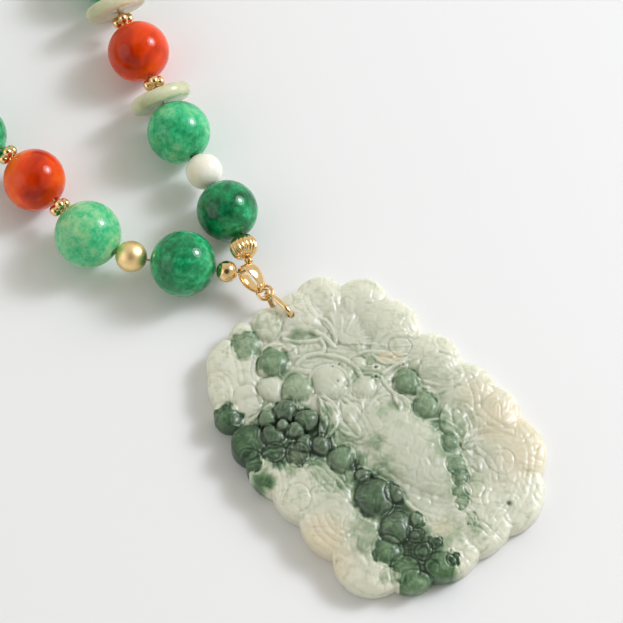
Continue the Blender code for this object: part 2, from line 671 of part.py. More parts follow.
def lay_string(parent, finish, joints, heights, clasp, bail_height):
    """The thread: out of one end of the clasp, through every bead and the bail, and back in."""
    points = [(*p, h) for p, h in zip(joints, heights)]
    inside = [Vector(points[clasp]).lerp(Vector(points[clasp + 1]), s) for s in (0.3, 0.7)]
    x, y = bail_point()
    reach = 0.5 * LOOP_CROWN_WIDTH + STRING_WIRE
    over, up = reach * math.cos(BAIL_TURN), reach * math.sin(BAIL_TURN)
    bail = [(x - over, y - up, bail_height), (x + over, y + up, bail_height)]
    route = [inside[1]] + points[clasp + 1:] + bail + points[:clasp + 1] + [inside[0]]
    data = bpy.data.curves.new("string", "CURVE")
    data.dimensions = "3D"
    data.bevel_depth = 0.5 * STRING_WIRE * MM
    data.bevel_resolution = 2
    data.use_fill_caps = True
    line = data.splines.new("POLY")
    line.points.add(len(route) - 1)
    for point, place in zip(line.points, route):
        point.co = (*(Vector(place) * MM), 1.0)
    return add_object("string", data, finish, parent)


def centre_on_origin(parent):
    """Shift the whole necklace so that the origin is under the middle of its box."""
    bpy.context.view_layer.update()
    graph = bpy.context.evaluated_depsgraph_get()
    corners = []
    for item in bpy.data.objects:
        if item.type in {"MESH", "CURVE"} and not item.hide_render:
            shown = item.evaluated_get(graph)
            mesh = shown.to_mesh()
            places = np.empty(len(mesh.vertices) * 3)
            mesh.vertices.foreach_get("co", places)
            turn = np.array(shown.matrix_world)
            world = places.reshape(-1, 3) @ turn[:3, :3].T + turn[:3, 3]
            corners += [world.min(0), world.max(0)]
            shown.to_mesh_clear()
    low, high = np.min(corners, 0), np.max(corners, 0)
    parent.location = (-0.5 * (low[0] + high[0]), -0.5 * (low[1] + high[1]), 0.0)


def main():
    """Build the necklace."""
    remove_everything()
    jade = material("pale_jade", (0.62, 0.68, 0.55), 0.2)
    gold = material("polished_gold", (0.86, 0.56, 0.22), 0.15, 1.0)
    satin = material("satin_gold", (0.86, 0.68, 0.42), 0.35, 1.0)
    green = material("green_jade", (0.05, 0.36, 0.16), 0.15)
    finishes = {
        "green_bead": green,
        "orange_bead": material("orange_carnelian", (0.62, 0.08, 0.02), 0.15),
        "white_bead": material("white_jade", (0.76, 0.74, 0.66), 0.3),
        "jade_disc": material("grey_jade", (0.62, 0.66, 0.55), 0.25),
        "satin_gold_ball": satin,
        "small_gold_ball": gold,
        "fluted_gold_bead": gold,
        "gold_seed_bead": gold,
        "granule_ring": gold,
        "clasp": gold,
        "string": material("pale_thread", (0.7, 0.62, 0.45), 0.8),
    }
    necklace = add_empty("necklace")
    make_pendant(necklace, jade)
    string_height = thread_beads(necklace, finishes)
    across, along = drawn_to_real()
    bail = add_empty("bail", necklace, (HOLE_X * across, HOLE_Y * along, 0.0), BAIL_TURN)
    make_bail(bail, gold, string_height)
    centre_on_origin(necklace)


main()
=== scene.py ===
# %% [markdown]
# Jade bead necklace with a carved jade pendant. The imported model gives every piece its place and
# its size in metres. This lesson puts a finished surface over each of those plain solids, gives
# it a stone, metal or thread finish, and lights the necklace like a small piece on a jeweller's
# white table.

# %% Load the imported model
import math

import bpy
import numpy as np
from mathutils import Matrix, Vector


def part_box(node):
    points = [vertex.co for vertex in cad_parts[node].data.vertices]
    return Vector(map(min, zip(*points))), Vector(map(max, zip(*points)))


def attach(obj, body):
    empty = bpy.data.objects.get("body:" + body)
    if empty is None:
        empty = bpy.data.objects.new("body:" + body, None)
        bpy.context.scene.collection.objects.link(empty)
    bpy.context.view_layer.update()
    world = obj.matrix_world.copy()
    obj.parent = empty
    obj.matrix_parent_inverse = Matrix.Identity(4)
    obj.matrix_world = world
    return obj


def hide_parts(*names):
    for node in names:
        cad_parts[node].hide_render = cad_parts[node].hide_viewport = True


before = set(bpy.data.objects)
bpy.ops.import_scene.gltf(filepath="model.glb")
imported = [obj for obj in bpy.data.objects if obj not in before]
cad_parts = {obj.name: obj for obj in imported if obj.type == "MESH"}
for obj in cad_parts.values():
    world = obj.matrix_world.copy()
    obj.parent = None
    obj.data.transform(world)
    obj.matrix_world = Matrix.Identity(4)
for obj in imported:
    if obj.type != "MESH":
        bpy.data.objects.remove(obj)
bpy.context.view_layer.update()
MM = 0.001

# %% [markdown]
# Every new surface here is a grid of points worked out at once with numpy. The helper below
# joins such a grid into quads. A closed mesh should face outward, and the sign of its volume
# tells whether it does, which is quicker and surer than asking Blender to guess.


# %% Meshes from arrays of points
def full_turn(count):
    """Angles spaced evenly once round, in radians."""
    return np.linspace(0.0, 2.0 * math.pi, count, endpoint=False)


def unit(vectors):
    """Vectors divided by their own length."""
    return vectors / np.linalg.norm(vectors, axis=-1, keepdims=True)


def signed_volume(points, triangles):
    """Sum of the small tetrahedra from the first point to each triangle."""
    a, b, c = (points[triangles[:, k]] - points[0] for k in range(3))
    return np.einsum("ij,ij->", a, np.cross(b, c)) / 6.0


def closed_mesh(name, points, quads, triangles=None):
    """A smooth closed mesh of quads and triangles, turned to face outward."""
    if triangles is None:
        triangles = np.zeros((0, 3), int)
    halves = np.concatenate([quads[:, [0, 1, 2]], quads[:, [0, 2, 3]], triangles])
    if signed_volume(points, halves) < 0.0:
        quads, triangles = quads[:, ::-1], triangles[:, ::-1]
    corners = np.concatenate([quads.ravel(), triangles.ravel()])
    starts = np.concatenate([4 * np.arange(len(quads)),
                             4 * len(quads) + 3 * np.arange(len(triangles))])
    mesh = bpy.data.meshes.new(name)
    mesh.vertices.add(len(points))
    mesh.vertices.foreach_set("co", points.ravel())
    mesh.loops.add(len(corners))
    mesh.loops.foreach_set("vertex_index", corners)
    mesh.polygons.add(len(starts))
    mesh.polygons.foreach_set("loop_start", starts)
    mesh.update(calc_edges=True)
    mesh.validate()
    mesh.shade_smooth()
    return mesh


def grid_quads(rows, columns, close_rows, close_columns):
    """Corner numbers of the quads of a grid, with its last row or column joined to the first."""
    r, c = np.meshgrid(np.arange(rows if close_rows else rows - 1),
                       np.arange(columns if close_columns else columns - 1), indexing="ij")
    down, right = (r + 1) % rows, (c + 1) % columns
    return np.stack([r * columns + c, r * columns + right, down * columns + right,
                     down * columns + c], -1).reshape(-1, 4)


def tube_mesh(name, rings, closed):
    """Rings of points joined into a tube, with a middle point closing each open end."""
    count, sides = rings.shape[:2]
    quads = grid_quads(count, sides, closed, True)
    points = rings.reshape(-1, 3)
    if closed:
        return closed_mesh(name, points, quads)
    first, last = count * sides, count * sides + 1
    points = np.vstack([points, rings[0].mean(0), rings[-1].mean(0)])
    here = np.arange(sides)
    after = (here + 1) % sides
    top = (count - 1) * sides
    caps = np.concatenate([np.stack([np.full(sides, first), after, here], -1),
                           np.stack([np.full(sides, last), top + here, top + after], -1)])
    return closed_mesh(name, points, quads, caps)


def add_object(name, data):
    """A new object in the scene."""
    made = bpy.data.objects.new(name, data)
    bpy.context.scene.collection.objects.link(made)
    return made


def show(name, mesh, finish, slot, *nodes):
    """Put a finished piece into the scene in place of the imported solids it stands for."""
    mesh.materials.append(finish)
    piece = add_object(name, mesh)
    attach(piece, "root")
    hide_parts(*nodes)
    return piece


# %% [markdown]
# Jade is a dense translucent stone: light enters, scatters a millimetre or two and comes out
# again, so shadows look soft and thin edges glow. Subsurface scattering in the Principled shader
# does that. The colour is never even, so noise of two sizes mixes four greens, from deep to pale.
# Each bead also carries a number called tone, which makes it lighter or deeper as a whole.


# %% Helpers for stone and metal finishes
def new_finish(name, roughness, metallic=0.0):
    """A Principled material with its nodes, links and shader at hand."""
    made = bpy.data.materials.new(name)
    made.use_nodes = True
    nodes, links = made.node_tree.nodes, made.node_tree.links
    shader = nodes["Principled BSDF"]
    shader.inputs["Roughness"].default_value = roughness
    shader.inputs["Metallic"].default_value = metallic
    return made, nodes, links, shader


def add_node(nodes, kind, **settings):
    """A shader node with some of its settings and input sockets filled in."""
    node = nodes.new(kind)
    for key, value in settings.items():
        if key in node.inputs:
            node.inputs[key].default_value = value
        else:
            setattr(node, key, value)
    return node


def noise(nodes, links, scale, detail=3.0, rough=0.55, warp=0.0):
    """Noise over the object's own coordinates, at a number of lumps per metre."""
    place = add_node(nodes, "ShaderNodeTexCoord")
    made = add_node(nodes, "ShaderNodeTexNoise", Scale=scale, Detail=detail, Roughness=rough,
                    Distortion=warp)
    links.new(place.outputs["Object"], made.inputs["Vector"])
    return made.outputs["Fac"]


def ramp(nodes, links, factor, stops):
    """Colours set at places from 0 to 1 along a factor."""
    made = add_node(nodes, "ShaderNodeValToRGB")
    band = made.color_ramp
    while len(band.elements) < len(stops):
        band.elements.new(0.5)
    for element, (place, colour) in zip(band.elements, stops):
        element.position = place
        element.color = (*colour, 1.0)
    links.new(factor, made.inputs["Fac"])
    return made.outputs["Color"]


def colour_from(nodes, links, shader, factor, *stops):
    """A base colour that follows a factor through its stops."""
    links.new(ramp(nodes, links, factor, stops), shader.inputs["Base Color"])


def arithmetic(nodes, links, operation, *values, clamp=False):
    """One step of arithmetic between sockets or numbers."""
    made = add_node(nodes, "ShaderNodeMath", operation=operation, use_clamp=clamp)
    for socket, value in zip(made.inputs, values):
        if isinstance(value, (int, float)):
            socket.default_value = value
        else:
            links.new(value, socket)
    return made.outputs["Value"]


def attribute(nodes, name):
    """A number stored on the mesh's points."""
    return add_node(nodes, "ShaderNodeAttribute", attribute_name=name).outputs["Fac"]


def bump(nodes, links, shader, height, distance, strength):
    """Fine relief from a height socket, in metres."""
    made = add_node(nodes, "ShaderNodeBump", Distance=distance, Strength=strength)
    links.new(height, made.inputs["Height"])
    links.new(made.outputs["Normal"], shader.inputs["Normal"])


def glow_inside(shader, weight, scale, radius):
    """Subsurface scattering with its reach in metres and its share for red, green and blue."""
    shader.inputs["Subsurface Weight"].default_value = weight
    shader.inputs["Subsurface Scale"].default_value = scale
    shader.inputs["Subsurface Radius"].default_value = radius


# %% Green jade of the round beads
DEEP_GREEN = (0.003, 0.085, 0.030)
MIDDLE_GREEN = (0.008, 0.270, 0.095)
CLEAR_GREEN = (0.050, 0.520, 0.225)
PALE_GREEN = (0.360, 0.670, 0.340)

green_jade, nodes, links, shader = new_finish("polished_green_jade", 0.08)
patches = noise(nodes, links, 260.0, detail=6.0, rough=0.66, warp=0.2)
specks = noise(nodes, links, 1100.0, rough=0.6)
mixed = arithmetic(nodes, links, "MULTIPLY_ADD", patches, 0.75, -0.08)
mixed = arithmetic(nodes, links, "ADD", mixed, arithmetic(nodes, links, "MULTIPLY", specks, 0.44))
mixed = arithmetic(nodes, links, "ADD", mixed, attribute(nodes, "tone"), clamp=True)
colour_from(nodes, links, shader, mixed, (0.30, DEEP_GREEN), (0.48, MIDDLE_GREEN),
            (0.64, CLEAR_GREEN), (0.86, PALE_GREEN))
glow_inside(shader, 0.35, 0.0012, (0.5, 1.0, 0.6))
shader.inputs["IOR"].default_value = 1.44
print("green jade:", len(nodes), "nodes")

# %% Orange carnelian, white bead and grey-green disc
DARK_ORANGE = (0.42, 0.018, 0.001)
MIDDLE_ORANGE = (0.80, 0.066, 0.002)
LIGHT_ORANGE = (0.98, 0.180, 0.006)
CREAM_WHITE = (0.84, 0.77, 0.66)
CLEAN_WHITE = (0.93, 0.88, 0.79)
DISC_OLIVE = (0.42, 0.43, 0.26)
DISC_GREEN = (0.60, 0.61, 0.43)
DISC_CREAM = (0.74, 0.73, 0.57)

orange_carnelian, nodes, links, shader = new_finish("polished_orange_carnelian", 0.07)
clouds = noise(nodes, links, 170.0, rough=0.5, warp=0.4)
colour_from(nodes, links, shader, clouds, (0.30, DARK_ORANGE), (0.52, MIDDLE_ORANGE),
            (0.75, LIGHT_ORANGE))
glow_inside(shader, 0.6, 0.002, (1.0, 0.28, 0.08))
shader.inputs["IOR"].default_value = 1.38

white_jade, nodes, links, shader = new_finish("white_jade_bead", 0.22)
clouds = noise(nodes, links, 260.0, rough=0.5)
colour_from(nodes, links, shader, clouds, (0.30, CREAM_WHITE), (0.70, CLEAN_WHITE))
glow_inside(shader, 1.0, 0.0030, (1.0, 0.9, 0.7))

grey_jade, nodes, links, shader = new_finish("grey_green_jade_disc", 0.14)
clouds = noise(nodes, links, 240.0, detail=4.0, warp=0.5)
colour_from(nodes, links, shader, clouds, (0.28, DISC_OLIVE), (0.50, DISC_GREEN),
            (0.74, DISC_CREAM))
glow_inside(shader, 0.9, 0.0025, (1.0, 1.0, 0.7))

# %% [markdown]
# Gold shows almost nothing but its surroundings. The polished pieces get a low roughness, and the
# satin balls a higher one with a fine bump, as from brushing. The thread is plain and dull.

# %% Polished gold, satin gold and thread
DULLED_GOLD = (0.86, 0.57, 0.26)
BRIGHT_GOLD = (0.95, 0.70, 0.38)
SATIN_SHADE = (1.00, 0.69, 0.32)
SATIN_LIGHT = (1.00, 0.81, 0.45)
THREAD_SHADE = (0.46, 0.40, 0.25)
THREAD_LIGHT = (0.70, 0.64, 0.46)


def grained(name, roughness, metallic, grain, detail, rough, dark, light, depth, strength):
    """A finish whose fine grain, in lumps per metre, both tints it and roughens its surface."""
    made, nodes, links, shader = new_finish(name, roughness, metallic)
    fine = noise(nodes, links, grain, detail, rough)
    colour_from(nodes, links, shader, fine, (0.3, dark), (0.7, light))
    bump(nodes, links, shader, fine, depth, strength)
    return made


polished_gold = grained("polished_gold", 0.10, 1.0, grain=1200.0, detail=3.0, rough=0.6,
                        dark=DULLED_GOLD, light=BRIGHT_GOLD, depth=0.00003, strength=0.35)
satin_gold = grained("satin_gold", 0.42, 1.0, grain=3800.0, detail=2.0, rough=0.5,
                     dark=SATIN_SHADE, light=SATIN_LIGHT, depth=0.00004, strength=0.8)
pale_thread = grained("pale_thread", 0.8, 0.0, grain=5000.0, detail=2.0, rough=0.5,
                      dark=THREAD_SHADE, light=THREAD_LIGHT, depth=0.00005, strength=0.6)

# %% [markdown]
# The pendant is one stone, carved in relief with leaves, round fruits and a flower. It could be
# sculpted by hand, but a height worked out for every point is exact and easy to change. Its
# outline is a row of rounded leaf lobes: seen from the centre, the edge in each direction is the
# farthest of a set of circles. All sizes are in millimetres from the pendant's centre.

# %% The pendant's outline
THICK = 6.6
RIM_HEIGHT = 3.5
EDGE_ROUND = 0.9
BACK_ROUND = 0.6
HALF_WIDTH = 20.0
HALF_LENGTH = 27.0

# Circles of the outline: middle x and y, radius
LOBES = [
    (8.0, 20.8, 4.2), (12.5, 16.4, 4.3), (12.4, 10.2, 5.2), (13.8, 1.7, 4.8),
    (14.1, -5.5, 5.2), (14.5, -10.6, 5.2), (11.8, -16.8, 7.0), (7.7, -21.1, 6.9),
    (1.6, -20.7, 7.0), (-4.5, -20.3, 7.2), (-10.8, -21.2, 4.2), (-14.2, -16.4, 6.0),
    (-12.6, -8.6, 7.3), (-13.5, -1.6, 6.2), (-13.9, 4.2, 6.0), (-15.8, 9.6, 3.3),
    (-15.2, 15.7, 2.5), (-10.9, 18.5, 4.9), (-9.1, 21.2, 4.7), (-5.0, 24.0, 2.5),
    (-0.9, 22.8, 3.1), (3.5, 20.6, 4.5),
]


def outline_radius(angle):
    """Distance to the edge: the farthest crossing of a ray from the centre with any circle."""
    across, along = np.cos(angle), np.sin(angle)
    reach = np.zeros(angle.shape)
    for x, y, radius in LOBES:
        forward = across * x + along * y
        inside = radius**2 - (x * x + y * y) + forward**2
        far = forward + np.sqrt(np.maximum(inside, 0.0))
        reach = np.where(inside > 0.0, np.maximum(reach, far), reach)
    return reach


round_trip = np.linspace(-math.pi, math.pi, 1441)
edge = outline_radius(round_trip)
edge_low = np.array([(edge * np.cos(round_trip)).min(), (edge * np.sin(round_trip)).min()])
box_low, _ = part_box("carved_pendant")
pendant_at = np.array([box_low.x, box_low.y]) / MM - edge_low
print("pendant centre at", pendant_at.round(2), "mm")

# %% [markdown]
# The relief is the highest of several layers: a low dome with small overlapping petals, the edge
# lobes, fan-shaped leaves, pointed leaves, bent leaf edges and round fruits. Where two layers
# meet, the surface gets the sharp valley that a carver's tool leaves.

# %% What is carved on the face
# Round fruits: middle x and y, radius, lift, and how green the stone is
FRUITS = [
    (-1.4, 22.8, 2.3, 0.8, 0.16), (-6.0, 22.5, 2.4, 0.9, 0.46), (-4.9, 17.4, 2.5, 1.1, 0.62),
    (-8.0, 14.2, 2.1, 0.8, 0.08), (-5.0, 11.5, 2.4, 0.9, 0.42), (-16.1, 15.0, 2.4, 1.2, 0.86),
    (-16.7, 10.1, 3.0, 1.3, 0.90), (-18.3, 7.1, 1.9, 0.9, 0.92), (-11.6, 10.8, 1.5, 1.1, 0.80),
    (-8.9, 9.8, 1.9, 1.4, 0.98), (-7.5, 6.4, 1.9, 1.3, 0.94), (-10.0, 6.3, 1.5, 1.7, 0.98),
    (-12.9, 7.8, 2.0, 1.3, 0.94), (-10.9, 8.1, 1.1, 1.8, 1.0), (-10.3, 3.7, 1.6, 1.1, 0.94),
    (-8.6, 1.9, 1.6, 1.0, 0.90), (-12.4, 3.0, 1.8, 0.7, 0.98), (-14.8, 5.7, 1.6, 0.8, 0.94),
    (-7.7, -1.9, 2.1, 1.0, 0.74), (-7.1, -6.2, 1.2, 1.0, 0.94), (-8.1, -10.0, 3.3, 1.5, 0.94),
    (-5.4, -11.5, 1.5, 1.0, 1.0), (-8.7, -15.6, 2.6, 1.3, 0.88), (-12.2, -17.6, 2.3, 1.0, 0.76),
    (-12.3, -21.6, 2.2, 1.1, 0.70), (-5.6, -16.9, 1.2, 1.1, 0.80), (-7.4, -18.6, 1.2, 1.0, 1.0),
    (-8.2, -21.4, 1.3, 1.4, 0.98), (-5.9, -21.4, 1.0, 1.2, 1.0), (-7.7, -24.9, 2.2, 1.1, 0.72),
    (-5.6, -25.2, 1.0, 1.0, 0.95), (-12.4, -24.6, 2.4, 0.9, 0.62), (-17.0, -2.3, 2.0, 0.6, 0.0),
    (-14.6, -20.8, 1.4, 0.6, 0.20), (8.4, 1.1, 2.2, 1.2, 0.66), (13.3, -1.0, 3.3, 0.6, 0.05),
    (7.9, -3.8, 2.0, 0.7, 0.55), (6.6, -10.8, 1.4, 0.8, 0.66), (5.0, -14.2, 1.6, 0.8, 0.55),
    (4.0, -16.2, 1.3, 0.7, 0.60), (2.9, -17.8, 1.4, 0.7, 0.58), (1.5, -19.4, 1.1, 0.6, 0.50),
    (4.5, -18.9, 1.4, 0.5, 0.10), (0.8, -22.2, 0.9, 0.6, 0.26), (-0.6, 9.0, 2.8, 0.6, 0.0),
    (2.7, 4.8, 1.9, 0.5, 0.06), (-12.0, 15.2, 2.3, 0.5, 0.0), (-1.6, 3.0, 1.7, 0.4, 0.0),
    (10.6, -18.0, 2.0, 0.4, 0.0), (4.9, 8.4, 1.2, 0.4, 0.08), (11.6, 6.4, 1.6, 0.3, 0.0),
]

# Fan-shaped leaves: root x and y, reach, first and last direction in degrees, veins, vein height
FANS = [
    (5.2, 12.4, 12.5, -34.0, 96.0, 7, 0.13), (-5.6, -22.6, 12.0, -52.0, 4.0, 7, 0.20),
    (8.8, -14.6, 9.5, -66.0, 60.0, 7, 0.16), (-12.4, 14.2, 10.0, 76.0, 150.0, 5, 0.18),
    (-12.4, -7.6, 8.8, 160.0, 244.0, 6, 0.16), (-13.4, -8.4, 3.4, 96.0, 206.0, 6, 0.30),
]

# Pointed leaves: base x and y, tip x and y, half width, bow, lift, side veins
LEAVES = [
    (-13.2, -3.4, -17.6, 6.0, 2.5, 0.10, 0.55, 5), (-12.6, -1.6, -14.6, 4.2, 1.3, -0.1, 0.7, 4),
    (-11.2, -10.6, -14.2, -3.8, 2.2, 0.12, 0.6, 4), (-7.9, 2.2, -3.6, 7.4, 1.5, -0.15, 0.8, 3),
    (8.3, -12.2, 12.6, -5.2, 2.2, 0.12, 0.5, 5), (7.6, -12.6, 13.0, -14.2, 1.3, 0.2, 0.6, 3),
    (8.6, -15.6, 5.8, -22.4, 1.9, 0.16, 0.5, 4), (-10.4, -3.6, -11.2, -9.6, 1.1, -0.12, 0.7, 4),
    (7.4, 8.4, 11.8, 4.4, 1.3, -0.1, 0.45, 3), (-3.4, -1.4, -1.6, 5.6, 1.5, 0.12, 0.5, 3),
    (0.2, -20.4, 5.4, -23.0, 1.4, 0.16, 0.5, 3), (-3.4, 8.2, -5.0, 2.2, 1.0, 0.1, 0.7, 3),
    (12.6, -15.4, 17.2, -12.4, 1.4, 0.1, 0.35, 3), (11.0, -20.6, 15.6, -19.0, 1.3, 0.1, 0.35, 3),
    (5.6, 1.0, 3.4, -3.4, 1.1, 0.2, 0.45, 3), (-5.6, 19.6, -1.6, 18.4, 1.0, 0.1, 0.5, 3),
]

# Raised leaf edges and stems: start, bend, end, half width, height
STEMS = [
    ((6.4, 22.4), (4.6, 20.0), (6.0, 17.6), 0.34, 1.15),
    ((6.0, 17.6), (6.1, 15.6), (4.7, 13.6), 0.36, 1.0),
    ((-0.7, 20.1), (4.4, 19.0), (3.9, 13.4), 0.50, 0.95),
    ((-1.0, 19.4), (0.2, 17.0), (3.2, 15.6), 0.34, 0.75),
    ((3.2, 15.6), (3.0, 12.4), (-0.1, 14.6), 0.34, 0.7),
    ((-0.1, 14.6), (-1.2, 15.4), (-2.6, 16.3), 0.34, 0.6),
    ((-2.4, 14.7), (0.6, 15.4), (2.2, 12.6), 0.36, 0.8),
    ((2.2, 12.6), (4.8, 10.0), (3.6, 6.2), 0.40, 0.75),
    ((-3.6, 10.6), (-0.8, 13.4), (1.6, 10.8), 0.32, 0.7),
    ((1.6, 10.8), (3.4, 8.0), (0.6, 5.6), 0.32, 0.65),
    ((-2.7, 8.6), (-3.2, 5.6), (-4.9, 2.6), 0.36, 0.85),
    ((-0.9, 5.2), (-0.2, 1.6), (-1.8, -2.2), 0.30, 0.6),
    ((10.5, -0.4), (13.0, -4.4), (16.3, -4.4), 0.36, 0.75),
    ((16.3, -4.6), (15.4, -7.6), (13.9, -9.1), 0.36, 0.75),
    ((13.9, -9.1), (13.0, -12.4), (15.2, -15.2), 0.40, 0.8),
    ((8.6, -11.6), (13.0, -11.2), (15.7, -16.8), 0.34, 0.75),
    ((11.7, -7.2), (12.0, -9.6), (10.4, -11.5), 0.24, 0.75),
    ((12.7, -7.6), (13.1, -9.8), (11.6, -11.4), 0.24, 0.7),
    ((-16.6, 6.8), (-11.7, 5.4), (-12.6, 0.8), 0.34, 0.75),
    ((-12.6, 0.8), (-12.8, -1.8), (-14.2, -3.1), 0.34, 0.8),
    ((-14.6, -3.2), (-10.8, -3.8), (-11.1, -8.1), 0.34, 0.8),
    ((-11.1, -8.1), (-10.4, -12.4), (-15.5, -11.0), 0.34, 0.8),
    ((-12.0, 0.9), (-12.8, -2.4), (-12.2, -4.9), 0.30, 0.85),
    ((-10.6, 0.2), (-9.8, -4.2), (-11.4, -10.4), 0.36, 0.85),
    ((-17.2, -6.4), (-18.8, -9.2), (-17.4, -12.1), 0.34, 0.8),
    ((-15.4, -7.4), (-16.6, -9.6), (-15.2, -12.0), 0.30, 0.7),
    ((-15.4, -11.4), (-19.2, -13.0), (-18.5, -17.4), 0.95, 0.95),
    ((-18.5, -17.4), (-18.2, -21.6), (-14.6, -21.8), 0.95, 0.9),
    ((-13.8, -12.6), (-16.4, -13.2), (-16.0, -17.0), 0.36, 0.8),
    ((-6.6, -4.8), (-4.6, -9.0), (-4.9, -13.8), 0.42, 0.8),
    ((-4.9, -13.8), (-4.9, -17.0), (-2.6, -19.6), 0.40, 0.75),
    ((4.1, -21.8), (5.6, -19.2), (8.2, -21.1), 0.34, 0.7),
    ((8.2, -21.1), (10.4, -22.0), (12.2, -20.6), 0.34, 0.65),
    ((9.1, -14.0), (10.0, -17.6), (8.0, -19.6), 0.34, 0.7),
    ((-3.1, -18.9), (-0.2, -17.0), (0.9, -20.0), 0.30, 0.7),
    ((0.9, -20.0), (1.6, -21.4), (0.8, -23.4), 0.30, 0.6),
    ((-1.8, -21.6), (1.6, -22.2), (1.5, -25.6), 0.34, 0.65),
    ((-5.8, -25.4), (-1.8, -26.8), (2.2, -26.4), 0.34, 0.9),
    ((2.6, -26.4), (8.0, -26.2), (12.4, -22.6), 0.34, 0.9),
    ((12.6, -22.4), (16.4, -19.8), (17.0, -15.4), 0.34, 0.9),
    ((4.0, -24.6), (8.6, -24.2), (11.4, -21.4), 0.28, 0.7),
    ((-9.2, 24.0), (-7.2, 22.8), (-10.9, 18.0), 0.30, 0.95),
    ((-12.8, 22.0), (-11.2, 20.4), (-13.9, 16.5), 0.30, 0.95),
    ((-15.6, 18.8), (-14.2, 18.6), (-14.6, 16.8), 0.26, 0.8),
    ((6.1, 9.6), (7.8, 9.4), (9.6, 6.4), 0.30, 0.6),
    ((9.8, 8.6), (13.4, 9.0), (15.4, 5.2), 0.34, 1.0),
    ((6.6, 4.6), (9.4, 4.8), (12.4, 3.4), 0.32, 0.8),
    ((5.9, 4.4), (5.0, 1.2), (6.4, -1.6), 0.30, 0.6),
    ((0.4, 1.2), (2.4, 2.8), (4.8, 1.6), 0.28, 0.5),
    ((-19.0, -1.2), (-16.4, 0.4), (-15.4, 3.6), 0.28, 0.7),
    ((-6.4, 19.6), (-9.0, 18.2), (-8.6, 16.2), 0.32, 0.7),
    ((-14.4, 12.6), (-11.6, 12.2), (-9.8, 12.4), 0.30, 0.7),
    ((6.2, -5.6), (9.6, -7.0), (9.0, -10.6), 0.32, 0.6),
    ((16.8, 0.4), (14.8, 3.0), (17.4, 4.4), 0.26, 0.9),
]

# Drilled pits with a raised ring: x, y, ring radius
PITS = [(6.4, 6.2, 0.50), (5.3, 4.9, 0.40), (9.9, 3.8, 0.35), (-5.0, -24.0, 0.35)]

# The smooth swelling in the middle of the face: its middle, half sizes, turn and lift
SWELL = (1.6, -8.1, 5.2, 10.5, math.radians(12.0), 0.75)


# %% The pendant's ground: a dome covered with small petals
GROUND_DROP = 0.6
CARVING_ROOM = 0.85
PETAL_WIDE = 2.9
PETAL_LONG = 2.5
PETAL_SHIFT = 0.34


def dome(x, y):
    """The bare face: high in the middle and falling to the rim, with room for the carving."""
    share = (x / HALF_WIDTH) ** 2 + (y / HALF_LENGTH) ** 2
    rise = THICK - RIM_HEIGHT - CARVING_ROOM
    return RIM_HEIGHT - GROUND_DROP + rise * np.clip(1.0 - share, 0.0, 1.0)


def petals(x, y):
    """Small overlapping petals. Each point belongs to the nearest of a set of uneven centres,
    the petal tips one way, and it is rounded down at the line where it meets the next one."""
    u = (x + 0.5 * np.sin(0.9 * y + 0.6) + 0.15 * np.sin(2.9 * y)) / PETAL_WIDE
    v = (y + 0.5 * np.sin(0.8 * x + 2.0) + 0.15 * np.sin(3.3 * x + 1.0)) / PETAL_LONG
    column, row = np.floor(u), np.floor(v)
    first, second = np.full(u.shape, 9.0), np.full(u.shape, 9.0)
    slope = np.zeros(u.shape)
    for across in (-1, 0, 1):
        for up in (-1, 0, 1):
            i, j = column + across, row + up
            du = u - i - 0.5 - PETAL_SHIFT * np.sin(12.7 * i + 4.1 * j)
            dv = v - j - 0.5 - PETAL_SHIFT * np.sin(7.3 * i + 9.2 * j)
            away = np.hypot(du, dv) - 0.12 * np.sin(3.1 * i + 5.7 * j)
            way = 2.4 * i + 4.7 * j
            lean = du * np.cos(way) + dv * np.sin(way)
            vein = 0.16 * np.cos(17.0 * (dv * np.cos(way) - du * np.sin(way) + 0.4 * lean**2))
            near = away < first
            second = np.where(near, first, np.minimum(second, away))
            slope = np.where(near, lean + vein, slope)
            first = np.where(near, away, first)
    seam = np.clip((second - first) / 0.22, 0.0, 1.0)
    return 0.17 * np.sqrt(seam) + 0.28 * slope * seam


# %% The pendant's fans, leaves and edge lobes
NOTHING = -9.0
PETALS_SHOW = {"lobe": 0.50, "fan": 0.40, "swell": 0.50, "leaf": 0.15, "fruit": 0.30}


def fan_leaf(x, y, root_x, root_y, reach, first, last, veins, rise):
    """Height above the dome of a fan: raised veins that run out from the root and fork, shallow
    dishes between them, and a small fall to the fan's outer edge. Outside it is far below."""
    away = np.hypot(x - root_x, y - root_y) / reach
    turn = np.degrees(np.arctan2(y - root_y, x - root_x)) + 9.0 * np.sin(2.6 * away)
    turn = np.where(turn < first, turn + 360.0, turn)
    share = (turn - first) / (last - first)
    wave = 0.5 + 0.5 * np.cos(2.0 * math.pi * veins * share)
    fork = 0.5 + 0.5 * np.cos(4.0 * math.pi * veins * share + 1.0)
    sheet = 0.50 - 0.25 * np.sin(math.pi * np.clip(away, 0.0, 1.0))
    line = rise * wave**4 * np.clip(3.0 * away, 0.0, 1.0)
    line = np.maximum(line, 0.7 * rise * fork**6 * np.clip(3.0 * away - 1.3, 0.0, 1.0))
    curl = 0.3 * rise * np.sin(7.0 * away + 3.0 * np.sin(2.0 * math.pi * veins * share))
    within = (share > 0.0) & (share < 1.0) & (away < 1.0)
    return np.where(within, sheet + line + 0.4 * curl, NOTHING)


